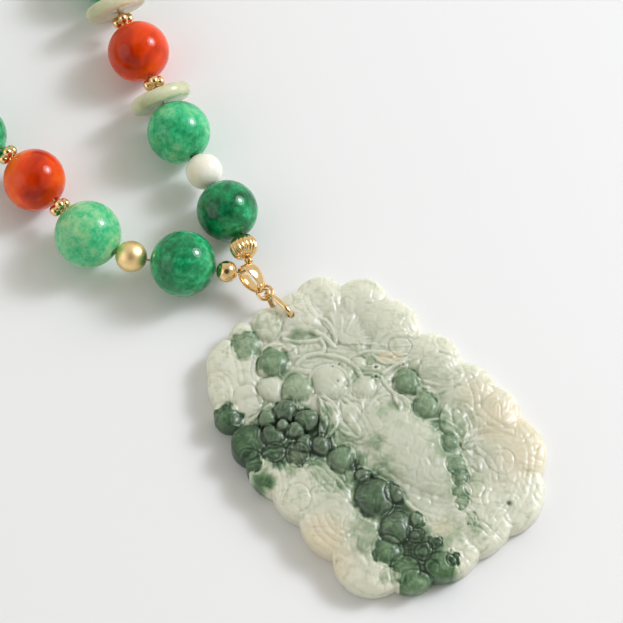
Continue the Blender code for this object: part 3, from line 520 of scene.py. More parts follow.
def pointed_leaf(x, y, base_x, base_y, tip_x, tip_y, half, bow, lift, veins):
    """Height above the dome of a leaf. Its length runs from 0 to 1 and its width from -1 to 1
    across a bowed midrib. The blade lifts to its edge, the midrib is cut in, and side veins
    slant away from it."""
    along_x, along_y = tip_x - base_x, tip_y - base_y
    length = math.hypot(along_x, along_y)
    u = ((x - base_x) * along_x + (y - base_y) * along_y) / length**2
    side = (along_x * (y - base_y) - along_y * (x - base_x)) / length
    side = side - bow * length * np.sin(math.pi * np.clip(u, 0.0, 1.0))
    width = half * np.sin(math.pi * np.clip(u, 0.001, 0.999) ** 0.8) ** 0.7
    v = side / width
    blade = lift * (0.70 + 0.30 * v**2) - 0.20 * np.exp(-((v / 0.14) ** 2))
    blade = blade + 0.07 * np.cos(2.0 * math.pi * (veins * u - 0.9 * np.abs(v)))
    blade = blade - 0.25 * np.clip(np.abs(v) - 0.86, 0.0, 1.0) / 0.14
    within = (u > 0.0) & (u < 1.0) & (np.abs(v) < 1.0)
    return np.where(within, blade, NOTHING)


def edge_lobe(x, y, lobe_x, lobe_y, radius, scales):
    """Height of a rounded lobe at the rim, like a shell: faint ribs spread from its inner side
    and a thin rolled lip runs round near its edge."""
    away = np.hypot(x - lobe_x, y - lobe_y) / radius
    out_x, out_y = np.array([lobe_x, lobe_y]) / math.hypot(lobe_x, lobe_y)
    ahead = (x - lobe_x) * out_x + (y - lobe_y) * out_y
    aside = (y - lobe_y) * out_x - (x - lobe_x) * out_y
    spread = np.arctan2(aside, ahead + 1.1 * radius)
    ribs = 0.05 * np.cos(11.0 * spread + 0.8 * np.sin(3.0 * away) + lobe_x)
    lip = 0.04 * np.exp(-(((away - 0.86) / 0.05) ** 2))
    outer = np.clip(0.5 + ahead / radius, 0.0, 1.0)
    cap = dome(lobe_x, lobe_y) + 0.95 - 1.1 * away**3 + (ribs + lip) * outer
    cap = cap + PETALS_SHOW["lobe"] * scales
    return np.where(away < 1.1, cap, NOTHING)


# %% The pendant's stems, fruits and the whole relief
STEM_ROUND = 0.52
STEM_CUT = 0.09
FRUIT_SINK = 0.3
FRUIT_CUT = 0.14
PIT_RING = 0.18
PIT_DEPTH = 0.2


def stem_distance(x, y, start, bend, end):
    """Distance to a bent line, as the nearest of eight straight pieces of it."""
    share = np.linspace(0.0, 1.0, 9)[:, None]
    path = (1 - share) ** 2 * np.array(start) + 2 * share * (1 - share) * np.array(bend)
    path = path + share**2 * np.array(end)
    nearest = np.full(x.shape, 99.0)
    for a, b in zip(path[:-1], path[1:]):
        step = b - a
        along = np.clip(((x - a[0]) * step[0] + (y - a[1]) * step[1]) / (step @ step), 0.0, 1.0)
        gap = np.hypot(x - a[0] - along * step[0], y - a[1] - along * step[1])
        nearest = np.minimum(nearest, gap)
    return nearest


def groove(distance, width, depth):
    """Depth of a soft cut, whose section is a bell curve."""
    return depth * np.exp(-((distance / width) ** 2))


def relief(x, y):
    """Height of the carved face: the highest of all its layers."""
    ground = dome(x, y)
    scales = petals(x, y)
    height = ground + scales
    for lobe in LOBES:
        height = np.maximum(height, edge_lobe(x, y, *lobe, scales))
    for fan in FANS:
        height = np.maximum(height, ground + fan_leaf(x, y, *fan) + PETALS_SHOW["fan"] * scales)
    swell_x, swell_y, half_x, half_y, turn, lift = SWELL
    across = (x - swell_x) * math.cos(turn) + (y - swell_y) * math.sin(turn)
    along = (y - swell_y) * math.cos(turn) - (x - swell_x) * math.sin(turn)
    share = (across / half_x) ** 2 + (along / half_y) ** 2
    swelling = ground + lift * np.sqrt(np.clip(1.0 - share, 0.0, 1.0))
    swelling = swelling + PETALS_SHOW["swell"] * scales
    height = np.where(share < 1.0, np.maximum(height, swelling), height)
    for leaf in LEAVES:
        blade = pointed_leaf(x, y, *leaf) + PETALS_SHOW["leaf"] * scales
        height = np.maximum(height, ground + blade)
    for start, bend, end, half, rise in STEMS:
        near = stem_distance(x, y, start, bend, end)
        stem = ground + STEM_ROUND * rise * np.sqrt(np.clip(1.0 - (near / half) ** 2, 0.0, 1.0))
        height = np.maximum(height - groove(near - 1.5 * half, 0.6 * half, STEM_CUT), stem)
    for fruit_x, fruit_y, radius, lift, green in FRUITS:
        turn = np.arctan2(y - fruit_y, x - fruit_x)
        uneven = 0.05 * np.sin(3.0 * turn + fruit_x) + 0.05 * np.sin(2.0 * turn + fruit_y)
        near = np.hypot(x - fruit_x, y - fruit_y) / radius * (1.0 + uneven)
        drop = 1.0 - np.sqrt(np.clip(1.0 - near**2.5, 0.0, 1.0))
        ball = dome(fruit_x, fruit_y) + lift - (lift + FRUIT_SINK) * drop
        ball = ball + PETALS_SHOW["fruit"] * scales
        height = np.where(near < 1.0, np.maximum(height, ball),
                          height - groove(near - 1.08, 0.08, FRUIT_CUT))
    for pit_x, pit_y, ring in PITS:
        away = np.hypot(x - pit_x, y - pit_y)
        height = height + groove(away - ring, 0.16, PIT_RING) - groove(away, 0.6 * ring, PIT_DEPTH)
    return np.clip(height, RIM_HEIGHT - 1.6, THICK)


# %% [markdown]
# The stone's colour follows its carving: the carver kept the dark green vein for the berries and
# left the pale stone for the leaves. So the colour zones are worked out from the same list of
# fruits, with a few patches and a band between them, and are stored on the points of the mesh.
# A fruit is clearer in its middle and has painted shade round its edge, where one looks through
# more stone.

# %% Where the stone is green, amber or stained
# Round patches: middle x and y, radius, strength
GREEN_PATCHES = [
    (-2.1, -3.3, 1.4, 0.30), (2.4, 17.4, 1.1, 0.34), (6.3, 7.8, 1.3, 0.26), (4.1, -0.9, 1.1, 0.36),
    (5.3, 4.9, 1.0, 0.30), (12.2, 0.5, 1.3, 0.34), (7.4, -7.4, 1.5, 0.50), (-19.0, 3.4, 1.7, 0.62),
    (5.6, -12.8, 1.6, 0.42), (3.9, -16.2, 1.8, 0.42), (-7.4, 3.8, 2.2, 0.70),
    (-13.6, -15.0, 2.2, 0.28), (-6.0, -3.6, 1.6, 0.50), (-9.4, -4.6, 2.0, 0.42),
    (10.4, -8.0, 2.6, 0.20), (0.9, -23.6, 1.4, 0.18), (8.4, -5.6, 1.5, 0.48),
    (9.6, -2.4, 1.4, 0.42), (7.4, -9.2, 1.2, 0.50), (1.0, 18.2, 1.4, 0.24),
    (-10.6, 0.6, 1.8, 0.55), (9.2, -9.6, 1.6, 0.30), (4.6, 7.4, 1.4, 0.22), (-3.2, 9.6, 0.9, 0.50),
    (-14.4, 2.0, 1.5, 0.30), (-4.6, 5.4, 1.2, 0.45), (2.2, -0.4, 1.4, 0.22),
    (-5.0, 14.2, 1.3, 0.40), (8.2, -3.6, 3.2, 0.28), (6.4, -11.0, 3.0, 0.30),
    (4.0, -16.5, 2.6, 0.28), (9.4, 1.6, 2.8, 0.26), (4.2, 6.8, 2.6, 0.20), (-6.0, 0.4, 3.0, 0.32),
    (-11.2, -2.6, 2.6, 0.24), (-10.8, 12.6, 2.8, 0.20), (-4.6, -7.6, 2.4, 0.32),
    (-11.6, -12.8, 2.8, 0.24), (-3.6, -21.6, 2.4, 0.24),
]

# Bent bands of green: start, bend, end, half width
GREEN_BAND = [
    ((-16.4, 14.0), (-17.6, 9.0), (-14.0, 6.6), 1.5),
    ((-13.6, 9.0), (-9.0, 9.8), (-8.0, 4.0), 2.6), ((-14.6, 4.8), (-10.4, 3.8), (-8.4, 1.4), 1.8),
    ((-7.8, 0.4), (-6.6, -4.0), (-7.2, -8.0), 1.0),
    ((-7.4, -8.0), (-6.8, -13.0), (-8.8, -17.0), 2.4),
    ((-9.0, -16.0), (-8.0, -20.4), (-8.6, -25.0), 2.6),
]

# Amber patches and small dark inclusions, given as the green patches are
AMBER_PATCHES = [
    (15.4, -13.4, 4.6, 0.62), (14.6, -19.0, 4.8, 0.55), (15.2, -8.2, 3.4, 0.50),
    (12.8, -13.4, 2.2, 0.65), (-18.0, -9.6, 3.6, 0.60), (-19.0, -13.6, 3.0, 0.45),
    (8.6, 6.6, 1.0, 0.95), (10.0, 5.6, 1.1, 1.0), (5.6, -19.2, 2.4, 0.20), (9.4, -20.4, 2.6, 0.20),
    (-3.4, -20.4, 1.6, 0.50), (-12.6, 3.0, 1.6, 0.35),
]
DARK_SPECKS = [
    (2.6, 10.3, 0.24, 1.0), (1.4, 10.6, 0.16, 1.0), (6.9, -24.0, 0.36, 1.0),
    (0.3, 8.1, 0.18, 1.0), (-0.2, -22.5, 0.2, 1.0), (5.3, 4.9, 0.22, 1.0), (6.4, 6.2, 0.2, 1.0),
]


def soft_patch(x, y, centre_x, centre_y, radius):
    """1 in the middle of a round patch, fading to 0 at 1.5 times its radius."""
    away = np.hypot(x - centre_x, y - centre_y) / radius
    share = np.clip((1.5 - away) / 1.1, 0.0, 1.0)
    return share * share * (3.0 - 2.0 * share)


def patch_share(x, y, patches):
    """The strongest of a set of round patches at each point."""
    share = np.zeros(x.shape)
    for patch_x, patch_y, radius, strength in patches:
        share = np.maximum(share, strength * soft_patch(x, y, patch_x, patch_y, radius))
    return share


def green_share(x, y):
    """How green the stone is: the greenest of the patches and bands, and over them each fruit,
    clearer in its middle, with painted shade round its edge. The zones wander as the stone's own
    do."""
    x, y = (x + 0.25 * np.sin(2.1 * y + 0.4) + 0.12 * np.sin(5.3 * y),
            y + 0.25 * np.sin(2.4 * x + 1.7) + 0.12 * np.sin(4.7 * x + 2.0))
    share = patch_share(x, y, GREEN_PATCHES)
    for start, bend, end, half in GREEN_BAND:
        near = stem_distance(x, y, start, bend, end) / half
        share = np.maximum(share, 0.94 * np.clip((1.45 - near) / 0.80, 0.0, 1.0))
    for fruit_x, fruit_y, radius, lift, green in FRUITS:
        away = np.hypot(x - fruit_x, y - fruit_y) / radius
        # Painted shade: each fruit's green deepens from about half its radius out to its edge.
        ring = np.clip((away - 0.45) / 0.5, 0.0, 1.0)
        inside = np.clip((1.08 - away) / 0.16, 0.0, 1.0)
        share = share + inside * (green * (0.76 + 0.24 * ring) - share)
    return share


# %% [markdown]
# A square grid is drawn out to the outline: each square ring of grid points becomes a ring of the
# pendant's own shape. That keeps the cells about the same size everywhere, with no crowded pole.
# The inner rings follow the outline's mean over a few degrees to each side, because the notches
# between the lobes would otherwise stretch the cells in a line all the way to the centre.
# From its edge the side wall goes down in rings, rounded at the top and at the back, and a fan of
# triangles closes the flat back. The clip's hole and the groove behind it are then cut.

# %% The pendant's surface
CELLS = 268
EVEN_TURNS = (-16.0, -12.0, -8.0, -4.0, 0.0, 4.0, 8.0, 12.0, 16.0)
EVEN_POWER = 6
EDGE_BENDS = (22.0, 45.0, 68.0, 90.0)
WALL_LEVELS = (0.66, 0.42)
BACK_BENDS = (0.0, 45.0, 90.0)


def ring_order(cells):
    """Numbers of the grid's outer points, once round against the clock."""
    across = np.arange(cells + 1)
    number = across[None, :] + (cells + 1) * across[:, None]
    return np.concatenate([number[0, :-1], number[:-1, -1], number[-1, :0:-1], number[:0:-1, 0]])


def pendant_surface():
    """The closed pendant in metres: carved face, walls and flat back."""
    line = np.linspace(-1.0, 1.0, CELLS + 1)
    v, u = np.meshgrid(line, line, indexing="ij")
    widest = np.maximum(np.abs(u), np.abs(v))
    steep = np.abs(v) > np.abs(u)
    sector = np.where(steep, 0.5 * math.pi * np.sign(v), np.where(u < 0.0, math.pi, 0.0))
    share = np.where(steep, -u * np.sign(v), v * np.sign(u)) / np.maximum(widest, 1e-9)
    angle = sector + 0.25 * math.pi * share
    angle = np.arctan2(HALF_LENGTH * np.sin(angle), HALF_WIDTH * np.cos(angle))
    edge = outline_radius(angle)
    even = np.mean([outline_radius(angle + turn) for turn in np.radians(EVEN_TURNS)], axis=0)
    reach = widest * (even + (edge - even) * widest**EVEN_POWER - EDGE_ROUND)
    x, y = reach * np.cos(angle), reach * np.sin(angle)
    face = np.stack([x, y, relief(x, y)], -1).reshape(-1, 3)
    rim = ring_order(CELLS)
    top, turn = face[rim], angle.ravel()[rim]
    out = np.stack([np.cos(turn), np.sin(turn), np.zeros(len(turn))], -1)
    flat, upright = np.array([1.0, 1.0, 0.0]), np.array([0.0, 0.0, 1.0])
    rings = [top + EDGE_ROUND * (math.sin(bend) * out - (1.0 - math.cos(bend)) * upright)
             for bend in np.radians(EDGE_BENDS)]
    side = rings[-1]
    rings += [side * (flat + level * upright) for level in WALL_LEVELS]
    rings += [side * flat + BACK_ROUND * ((1.0 - math.sin(bend)) * upright
                                          - (1.0 - math.cos(bend)) * out)
              for bend in np.radians(BACK_BENDS)]
    wall = np.concatenate(rings)
    points = np.vstack([face, wall, [[0.0, 0.0, 0.0]]])
    count = len(rim)
    loops = np.concatenate([rim[None, :], len(face) + np.arange(len(wall)).reshape(-1, count)])
    ahead = np.roll(loops, -1, 1)
    sides = np.stack([loops[:-1], loops[1:], ahead[1:], ahead[:-1]], -1).reshape(-1, 4)
    quads = np.concatenate([grid_quads(CELLS + 1, CELLS + 1, False, False), sides])
    back = np.stack([loops[-1], np.full(count, len(points) - 1), ahead[-1]], -1)
    points = (points + [*pendant_at, 0.0]) * MM
    return closed_mesh("fine_carved_pendant", points, quads, back)


# %% The clip's hole and groove
HOLE = np.array([2.4, 21.6])
HOLE_RADIUS = 0.54
GROOVE_WIDTH = 1.7
GROOVE_DEPTH = 1.45
GROOVE_START = -0.85
BELOW = -2.0
BEYOND = 9.0
BAIL_TURN = math.radians(2.0)


def prism(name, corners, low, high):
    """A closed upright block over a row of corners, in millimetres from the hole."""
    corners = np.asarray(corners)
    levels = [np.column_stack([corners, np.full(len(corners), z)]) for z in (low, high)]
    points = (np.stack(levels) + [*(pendant_at + HOLE), 0.0]) * MM
    return tube_mesh(name, points, False)


def cut_away(mesh, blocks):
    """The mesh less the blocks, with the Boolean steps worked out and the blocks removed."""
    body = add_object("cutting", mesh)
    tools = []
    for block in blocks:
        tool = add_object(block.name, block)
        step = body.modifiers.new(block.name, "BOOLEAN")
        step.operation, step.solver, step.object = "DIFFERENCE", "MANIFOLD", tool
        tools.append(tool)
    graph = bpy.context.evaluated_depsgraph_get()
    result = bpy.data.meshes.new_from_object(body.evaluated_get(graph))
    result.materials.clear()
    for item in [body] + tools:
        bpy.data.objects.remove(item)
    return result


turn = full_turn(32)
circle = HOLE_RADIUS * np.column_stack([np.cos(turn), np.sin(turn)])
hole_block = prism("hole", circle, BELOW, BEYOND)
half = 0.5 * GROOVE_WIDTH
flat = np.array([(-half, GROOVE_START), (half, GROOVE_START), (half, BEYOND), (-half, BEYOND)])
tilt = np.array([[math.cos(BAIL_TURN), math.sin(BAIL_TURN)],
                 [-math.sin(BAIL_TURN), math.cos(BAIL_TURN)]])
groove_block = prism("groove", flat @ tilt, BELOW, GROOVE_DEPTH)
pendant_mesh = cut_away(pendant_surface(), [hole_block, groove_block])
print("pendant:", len(pendant_mesh.polygons), "faces")


# %% Store the colour zones, and the hollows and depth used for painted shade and a painted highlight
def keep(mesh, name, values):
    """Store one number for each point of the mesh."""
    mesh.attributes.new(name, "FLOAT", "POINT").data.foreach_set("value", values)


NEIGHBOUR = 0.32
FULL_HOLLOW = 0.14

places = np.empty(3 * len(pendant_mesh.vertices))
pendant_mesh.vertices.foreach_get("co", places)
places = places.reshape(-1, 3) / MM - [*pendant_at, 0.0]
px, py, pz = places.T
face = relief(px, py)
around = 0.25 * sum(relief(px + dx, py + dy) for dx, dy in
                    ((NEIGHBOUR, 0.0), (-NEIGHBOUR, 0.0), (0.0, NEIGHBOUR), (0.0, -NEIGHBOUR)))
on_face = np.clip((pz - face + 0.4) / 0.3, 0.0, 1.0)
keep(pendant_mesh, "green", green_share(px, py))
keep(pendant_mesh, "amber", patch_share(px, py, AMBER_PATCHES))
keep(pendant_mesh, "speck", patch_share(px, py, DARK_SPECKS) * on_face)
# The hollow number sets painted shade in the cuts and a painted highlight on the ridges.
keep(pendant_mesh, "hollow", np.clip((around - face) / FULL_HOLLOW, -1.0, 1.0) * on_face)
inward = 1.0 - np.hypot(px, py) / outline_radius(np.arctan2(py, px))
# The depth number sets painted shade on the pale stone where it is thick, away from the rim.
keep(pendant_mesh, "depth", np.clip(3.0 * inward - 0.15, 0.0, 1.0))

# %% [markdown]
# The pendant's finish reads those numbers. A colour ramp goes from the pale, slightly warm body
# through a clear grey-green to almost black, and noise shifts it so that no edge is even. Amber
# and the dark specks are mixed over it. Painted shade darkens the cut lines, a painted highlight
# lightens the ridges, and painted shade deepens the pale stone where it is thick, away from the
# rim.

# %% Finish of the carved jade
PALE_BODY = (0.73, 0.73, 0.61)
CLEAR_BODY = (0.40, 0.47, 0.32)
LEAF_GREEN = (0.12, 0.23, 0.11)
SHADE_GREEN = (0.030, 0.090, 0.032)
BERRY_GREEN = (0.014, 0.048, 0.016)
AMBER = (0.76, 0.64, 0.45)
SPECK = (0.03, 0.025, 0.015)
CREASE_SHADE = (0.06, 0.09, 0.04)
RIDGE_HIGHLIGHT = (0.84, 0.86, 0.76)
THICK_STONE_SHADE = (0.40, 0.45, 0.34)

carved_jade, nodes, links, shader = new_finish("carved_pale_jade", 0.30)
clouds = noise(nodes, links, 190.0, detail=4.0, rough=0.6, warp=0.4)
veins = noise(nodes, links, 760.0, detail=4.0, rough=0.65, warp=0.3)
shifted = arithmetic(nodes, links, "MULTIPLY_ADD", veins, 0.70, -0.36)
zone = arithmetic(nodes, links, "MULTIPLY_ADD", clouds, 0.34, -0.16)
zone = arithmetic(nodes, links, "ADD", zone, shifted)
zone = arithmetic(nodes, links, "ADD", zone, attribute(nodes, "green"))
# Painted shade: the hollows of the carving are pushed a little towards the darker greens.
carved = arithmetic(nodes, links, "MULTIPLY", attribute(nodes, "hollow"), 0.05)
zone = arithmetic(nodes, links, "ADD", zone, carved, clamp=True)
body = ramp(nodes, links, zone, [(0.00, PALE_BODY), (0.24, CLEAR_BODY), (0.50, LEAF_GREEN),
                                 (0.74, SHADE_GREEN), (0.96, BERRY_GREEN)])


def mix_colour(nodes, links, factor, first, second):
    """Blend two colours, each a socket or three numbers."""
    made = add_node(nodes, "ShaderNodeMix", data_type="RGBA")
    links.new(factor, made.inputs[0])
    for socket, value in ((made.inputs[6], first), (made.inputs[7], second)):
        if isinstance(value, tuple):
            socket.default_value = (*value, 1.0)
        else:
            links.new(value, socket)
    return made.outputs[2]


pale_only = arithmetic(nodes, links, "SUBTRACT", 1.0, zone, clamp=True)
warm = arithmetic(nodes, links, "MULTIPLY", attribute(nodes, "amber"), pale_only)
body = mix_colour(nodes, links, warm, body, AMBER)
body = mix_colour(nodes, links, attribute(nodes, "speck"), body, SPECK)
# Painted shade in the cut lines and a painted highlight on the ridges, both set by the hollow
# number.
for share, colour in ((0.10, CREASE_SHADE), (-0.22, RIDGE_HIGHLIGHT)):
    cut = arithmetic(nodes, links, "MULTIPLY", attribute(nodes, "hollow"), share, clamp=True)
    body = mix_colour(nodes, links, cut, body, colour)
# Painted shade: the pale stone is darkened where it is thick, away from the rim, so the thin rim
# looks lit through.
thick_shade = arithmetic(nodes, links, "MULTIPLY", attribute(nodes, "depth"), 0.42, clamp=True)
thick_shade = arithmetic(nodes, links, "MULTIPLY", thick_shade, pale_only)
body = mix_colour(nodes, links, thick_shade, body, THICK_STONE_SHADE)
links.new(body, shader.inputs["Base Color"])
glow_inside(shader, 0.80, 0.0025, (1.0, 0.95, 0.8))
shader.inputs["IOR"].default_value = 1.50
bump(nodes, links, shader, veins, 0.00004, 0.15)
show("fine_carved_pendant", pendant_mesh, carved_jade, "pale_jade", "carved_pendant")

# %% [markdown]
# Everything else hangs on one string. Its route is a smooth curve through the middles of the
# beads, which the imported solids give, and through the crown of the bail's loop. Each bead's
# drilled axis then simply follows the string where it passes through.


# %% The string's route and the order of the beads
def middle_of(node):
    """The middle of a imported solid, in metres."""
    low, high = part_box(node)
    return np.array([0.5 * (a + b) for a, b in zip(low, high)])


def numbered(kind, side, numbers):
    """Node names of one kind along one side."""
    return [f"{kind}_{side}_{n}" for n in numbers]


right = ["gold_seed_bead_right_1", "fluted_gold_bead_right_1", "green_bead_right_1",
         "white_bead_right_1", "green_bead_right_2", "jade_disc_right_1", "granule_ring_right_1",
         "orange_bead_right_1", "granule_ring_right_2", "jade_disc_right_2"]
left = []
for run in range(4):
    right += numbered("green_bead", "right", range(3 + 3 * run, 6 + 3 * run))
    right += [f"satin_gold_ball_right_{run + 1}"]
    left += [f"satin_gold_ball_left_{run + 1}"]
    left += numbered("green_bead", "left", range(1 + 3 * run, 4 + 3 * run))
left += ["granule_ring_left_1", "orange_bead_left_1", "granule_ring_left_2",
         "green_bead_left_13", "satin_gold_ball_left_5", "green_bead_left_14",
         "small_gold_ball_left_1"]
threaded = ["clasp"] + left + ["bail"] + right

LOOP_CROWN = 11.3
LOOP_THICK = 0.45
STRING_WIRE = 0.4
STRING_ROOM = 0.25


def from_hole(points):
    """Points given as side, up and height from the bail's own hole, as places in metres."""
    side, up, height = np.moveaxis(np.asarray(points, float), -1, 0)
    x = side * math.cos(BAIL_TURN) - up * math.sin(BAIL_TURN)
    y = side * math.sin(BAIL_TURN) + up * math.cos(BAIL_TURN)
    return (np.stack([x, y, height], -1) + [*(pendant_at + HOLE), 0.0]) * MM


string_level = middle_of("gold_seed_bead_right_1")[2] / MM
crown = from_hole([0.0, LOOP_CROWN - LOOP_THICK - 0.5 * STRING_WIRE - STRING_ROOM, string_level])
centres = np.array([crown if name == "bail" else middle_of(name) for name in threaded])
print(len(threaded) - 1, "pieces on the string")


def slopes(points):
    """Direction of a closed smooth curve at each of its points, from both neighbours."""
    before, after = points - np.roll(points, 1, 0), np.roll(points, -1, 0) - points
    short = np.linalg.norm(before, axis=1, keepdims=True)
    long = np.linalg.norm(after, axis=1, keepdims=True)
    return unit(before / short**2 + after / long**2)


directions = slopes(centres)
axis_of = dict(zip(threaded, directions))
DISC_LEAN = math.radians(18.0)
for number in (1, 2):
    node = f"jade_disc_right_{number}"
    axis_of[node] = math.cos(DISC_LEAN) * axis_of[node] + [0.0, 0.0, math.sin(DISC_LEAN)]
centre_of = dict(zip(threaded, centres))


# %% [markdown]
# A bead is a half outline spun round its axis. The outline runs over the outside and back through
# the drilled bore, so the surface closes on itself and has no poles. Balls, discs, flutes and the
# clasp differ only in that outline and in how it changes with the turn.


# %% Spin an outline about the string
def bead_frame(node):
    """Two directions across a bead's axis and the axis itself, as rows."""
    axis = axis_of[node]
    level = unit(np.cross([0.0, 0.0, 1.0], axis))
    return np.stack([level, np.cross(axis, level), axis])


def spun(node, radius, along, turn):
    """Points of a spun surface at a bead's place. radius and along are in millimetres for every
    point of the outline and every turn."""
    radius, along, turn = np.broadcast_arrays(radius, along, turn)
    local = np.stack([radius * np.cos(turn), radius * np.sin(turn), along], -1)
    return centre_of[node] + MM * local @ bead_frame(node)


LIP_TURN = 0.06
LIP_DEPTH = 0.10


def ball_outline(width, length, bore, steps):
    """Half outline of a ball: an arc from one mouth of the bore to the other, with softened
    lips, and the bore's wall between them."""
    half, mouth = 0.5 * width, 0.5 * bore
    start = math.asin(mouth / half) + LIP_TURN
    arc = np.linspace(start, math.pi - start, steps)
    outside = np.stack([half * np.sin(arc), 0.5 * length * np.cos(arc)], -1)
    lip = 0.5 * length * math.cos(start) - LIP_DEPTH
    inside = np.stack([np.full(4, mouth), np.linspace(-lip, lip, 4)], -1)
    return np.concatenate([outside, inside])


def turned_piece(node, outline, finish, slot, sides=48, shape=None):
    """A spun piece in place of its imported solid. shape changes the radius with the turn."""
    turn = full_turn(sides)[None, :]
    radius, along = outline[:, :1], outline[:, 1:]
    if shape is not None:
        radius = shape(radius, along, turn)
    points = spun(node, radius, along, turn).reshape(-1, 3)
    mesh = closed_mesh("fine_" + node, points, grid_quads(len(outline), sides, True, True))
    return show(mesh.name, mesh, finish, slot, node)


def size_across(node):
    """A bead's width in millimetres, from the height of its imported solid."""
    low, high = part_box(node)
    return (high.z - low.z) / MM


# %% The round stone beads
TONES = {"green_bead_right_1": -0.09, "green_bead_right_2": 0.11, "green_bead_left_14": -0.03,
         "green_bead_left_13": 0.20}
BORE = 1.0
made = 0
for node in threaded:
    if node.startswith("green_bead"):
        finish, slot = green_jade, "green_jade"
    elif node.startswith("orange_bead"):
        finish, slot = orange_carnelian, "orange_carnelian"
    elif node.startswith("white_bead"):
        finish, slot = white_jade, "white_jade"
    else:
        continue
    width = size_across(node)
    piece = turned_piece(node, ball_outline(width, width, BORE, 37), finish, slot, sides=64)
    tone = TONES.get(node, 0.07 * math.sin(2.4 * made))
    keep(piece.data, "tone", np.full(len(piece.data.vertices), tone))
    made += 1
print(made, "round stone beads")


# %% The grey-green discs
DISC_WIDTH = 10.14
DISC_THICK = 2.4
DISC_BORE = 1.3
DISC_LIP = 1.2


def disc_outline(width, thick, bore, lip):
    """Half outline of a disc: two almost flat faces and a full round rim between them."""
    half, mouth, deep = 0.5 * width, 0.5 * bore, 0.5 * thick
    bend = np.linspace(0.5 * math.pi, -0.5 * math.pi, 17)
    rim = np.stack([half - lip + lip * np.cos(bend) ** 0.8, deep * np.sin(bend)], -1)
    face = np.linspace(mouth + 0.1, half - lip, 6, endpoint=False)
    top = np.stack([face, deep * (0.93 + 0.07 * (face / half))], -1)
    wall = np.stack([np.full(4, mouth), np.linspace(-0.8 * deep, 0.8 * deep, 4)], -1)
    return np.concatenate([top, rim, top[::-1] * [1.0, -1.0], wall])


disc = disc_outline(DISC_WIDTH, DISC_THICK, DISC_BORE, DISC_LIP)
for number in (1, 2):
    turned_piece(f"jade_disc_right_{number}", disc, grey_jade, "grey_jade", sides=72)


# %% [markdown]
# The gold beads are thin hollow shells on the real string. One is fluted like a melon: its radius
# is pinched at even turns, less and less towards the bore. The spacers are rings of four fused
# grains, so their radius is that of the nearest grain, seen from the axis.


# %% The gold balls and the fluted bead
SATIN_BALL = 5.0
SMALL_BALL = 3.4
FLUTED_WIDTH = 4.5
FLUTED_LENGTH = 4.1
FLUTES = 18
FLUTE_DEPTH = 0.30
SEED_WIDTH = 1.4
SEED_LENGTH = 0.8
SEED_BORE = 0.8


def flutes(radius, along, turn):
    """Pinch the radius at even turns, more where the bead is wide."""
    pinch = np.abs(np.cos(0.5 * FLUTES * turn)) ** 0.8
    return radius - FLUTE_DEPTH * (1.0 - pinch) * np.clip((radius - 0.7) / 1.5, 0.0, 1.0)


def turned_gold(node, outline, sides, shape=None):
    """A spun piece of polished gold."""
    turned_piece(node, outline, polished_gold, "polished_gold", sides, shape)


for node in threaded:
    if node.startswith("satin_gold_ball"):
        turned_piece(node, ball_outline(SATIN_BALL, SATIN_BALL, BORE, 29), satin_gold,
                     "satin_gold")
turned_gold("small_gold_ball_left_1", ball_outline(SMALL_BALL, SMALL_BALL, BORE, 29), 48)
turned_gold("fluted_gold_bead_right_1", ball_outline(FLUTED_WIDTH, FLUTED_LENGTH, BORE, 33), 216,
            flutes)
turned_gold("gold_seed_bead_right_1", ball_outline(SEED_WIDTH, SEED_LENGTH, SEED_BORE, 13), 32)


# %% The rings of gold grains
GRAIN_RADIUS = 0.78
GRAIN_OUT = 1.0
GRAIN_LONG = 0.95
SPACER_BORE = 0.5
CORE_RADIUS = 0.62
CORE_RISE = 0.35
CORE_LONG = 0.8


def grains(radius, along, turn):
    """Distance from the axis to the nearest of four long grains, or to the thin core ring."""
    nearest = (turn + 0.25 * math.pi) % (0.5 * math.pi) - 0.25 * math.pi
    left_over = (GRAIN_RADIUS**2 * (1.0 - (along / GRAIN_LONG) ** 2)
                 - (GRAIN_OUT * np.sin(nearest)) ** 2)
    surface = GRAIN_OUT * np.cos(nearest) + np.sqrt(np.maximum(left_over, 0.0))
    core = CORE_RADIUS + CORE_RISE * np.sqrt(np.maximum(1.0 - (along / CORE_LONG) ** 2, 0.0))
    shaped = np.where(left_over > 0.0, np.maximum(surface, core), core)
    return np.where(radius > SPACER_BORE, shaped, SPACER_BORE)


def with_bore(outside, bore, reach):
    """An outline closed by the wall of its bore."""
    return np.concatenate([outside, [[bore, -reach], [bore, 0.0], [bore, reach]]])


level = 0.94 * np.cos(np.linspace(0.0, math.pi, 23))
grain_outline = with_bore(np.stack([np.full(23, 1.0), level], -1), SPACER_BORE, 0.7)
for node in threaded:
    if node.startswith("granule_ring"):
        turned_gold(node, grain_outline, 96, grains)

# %% [markdown]
# The photograph does not show how the string is fastened, so the clasp is a plain gold barrel of
# two halves with knurled collars, the simplest one that such a string could have.


# %% The barrel clasp
BARREL_RADIUS = 3.25
BARREL_REACH = 4.9
JOINT_DEPTH = 0.32
JOINT_HALF = 0.16
COLLAR_AT = 1.1
COLLAR_HALF = 0.7
KNURLS = 36
KNURL_DEPTH = 0.12


def knurls(radius, along, turn):
    """Fine grooves round the two collars beside the joint."""
    collar = np.clip(1.0 - np.abs(np.abs(along) - COLLAR_AT) / COLLAR_HALF, 0.0, 1.0)
    cut = KNURL_DEPTH * np.sqrt(collar) * (0.5 + 0.5 * np.cos(KNURLS * turn))
    return radius - cut * (radius > 1.0)


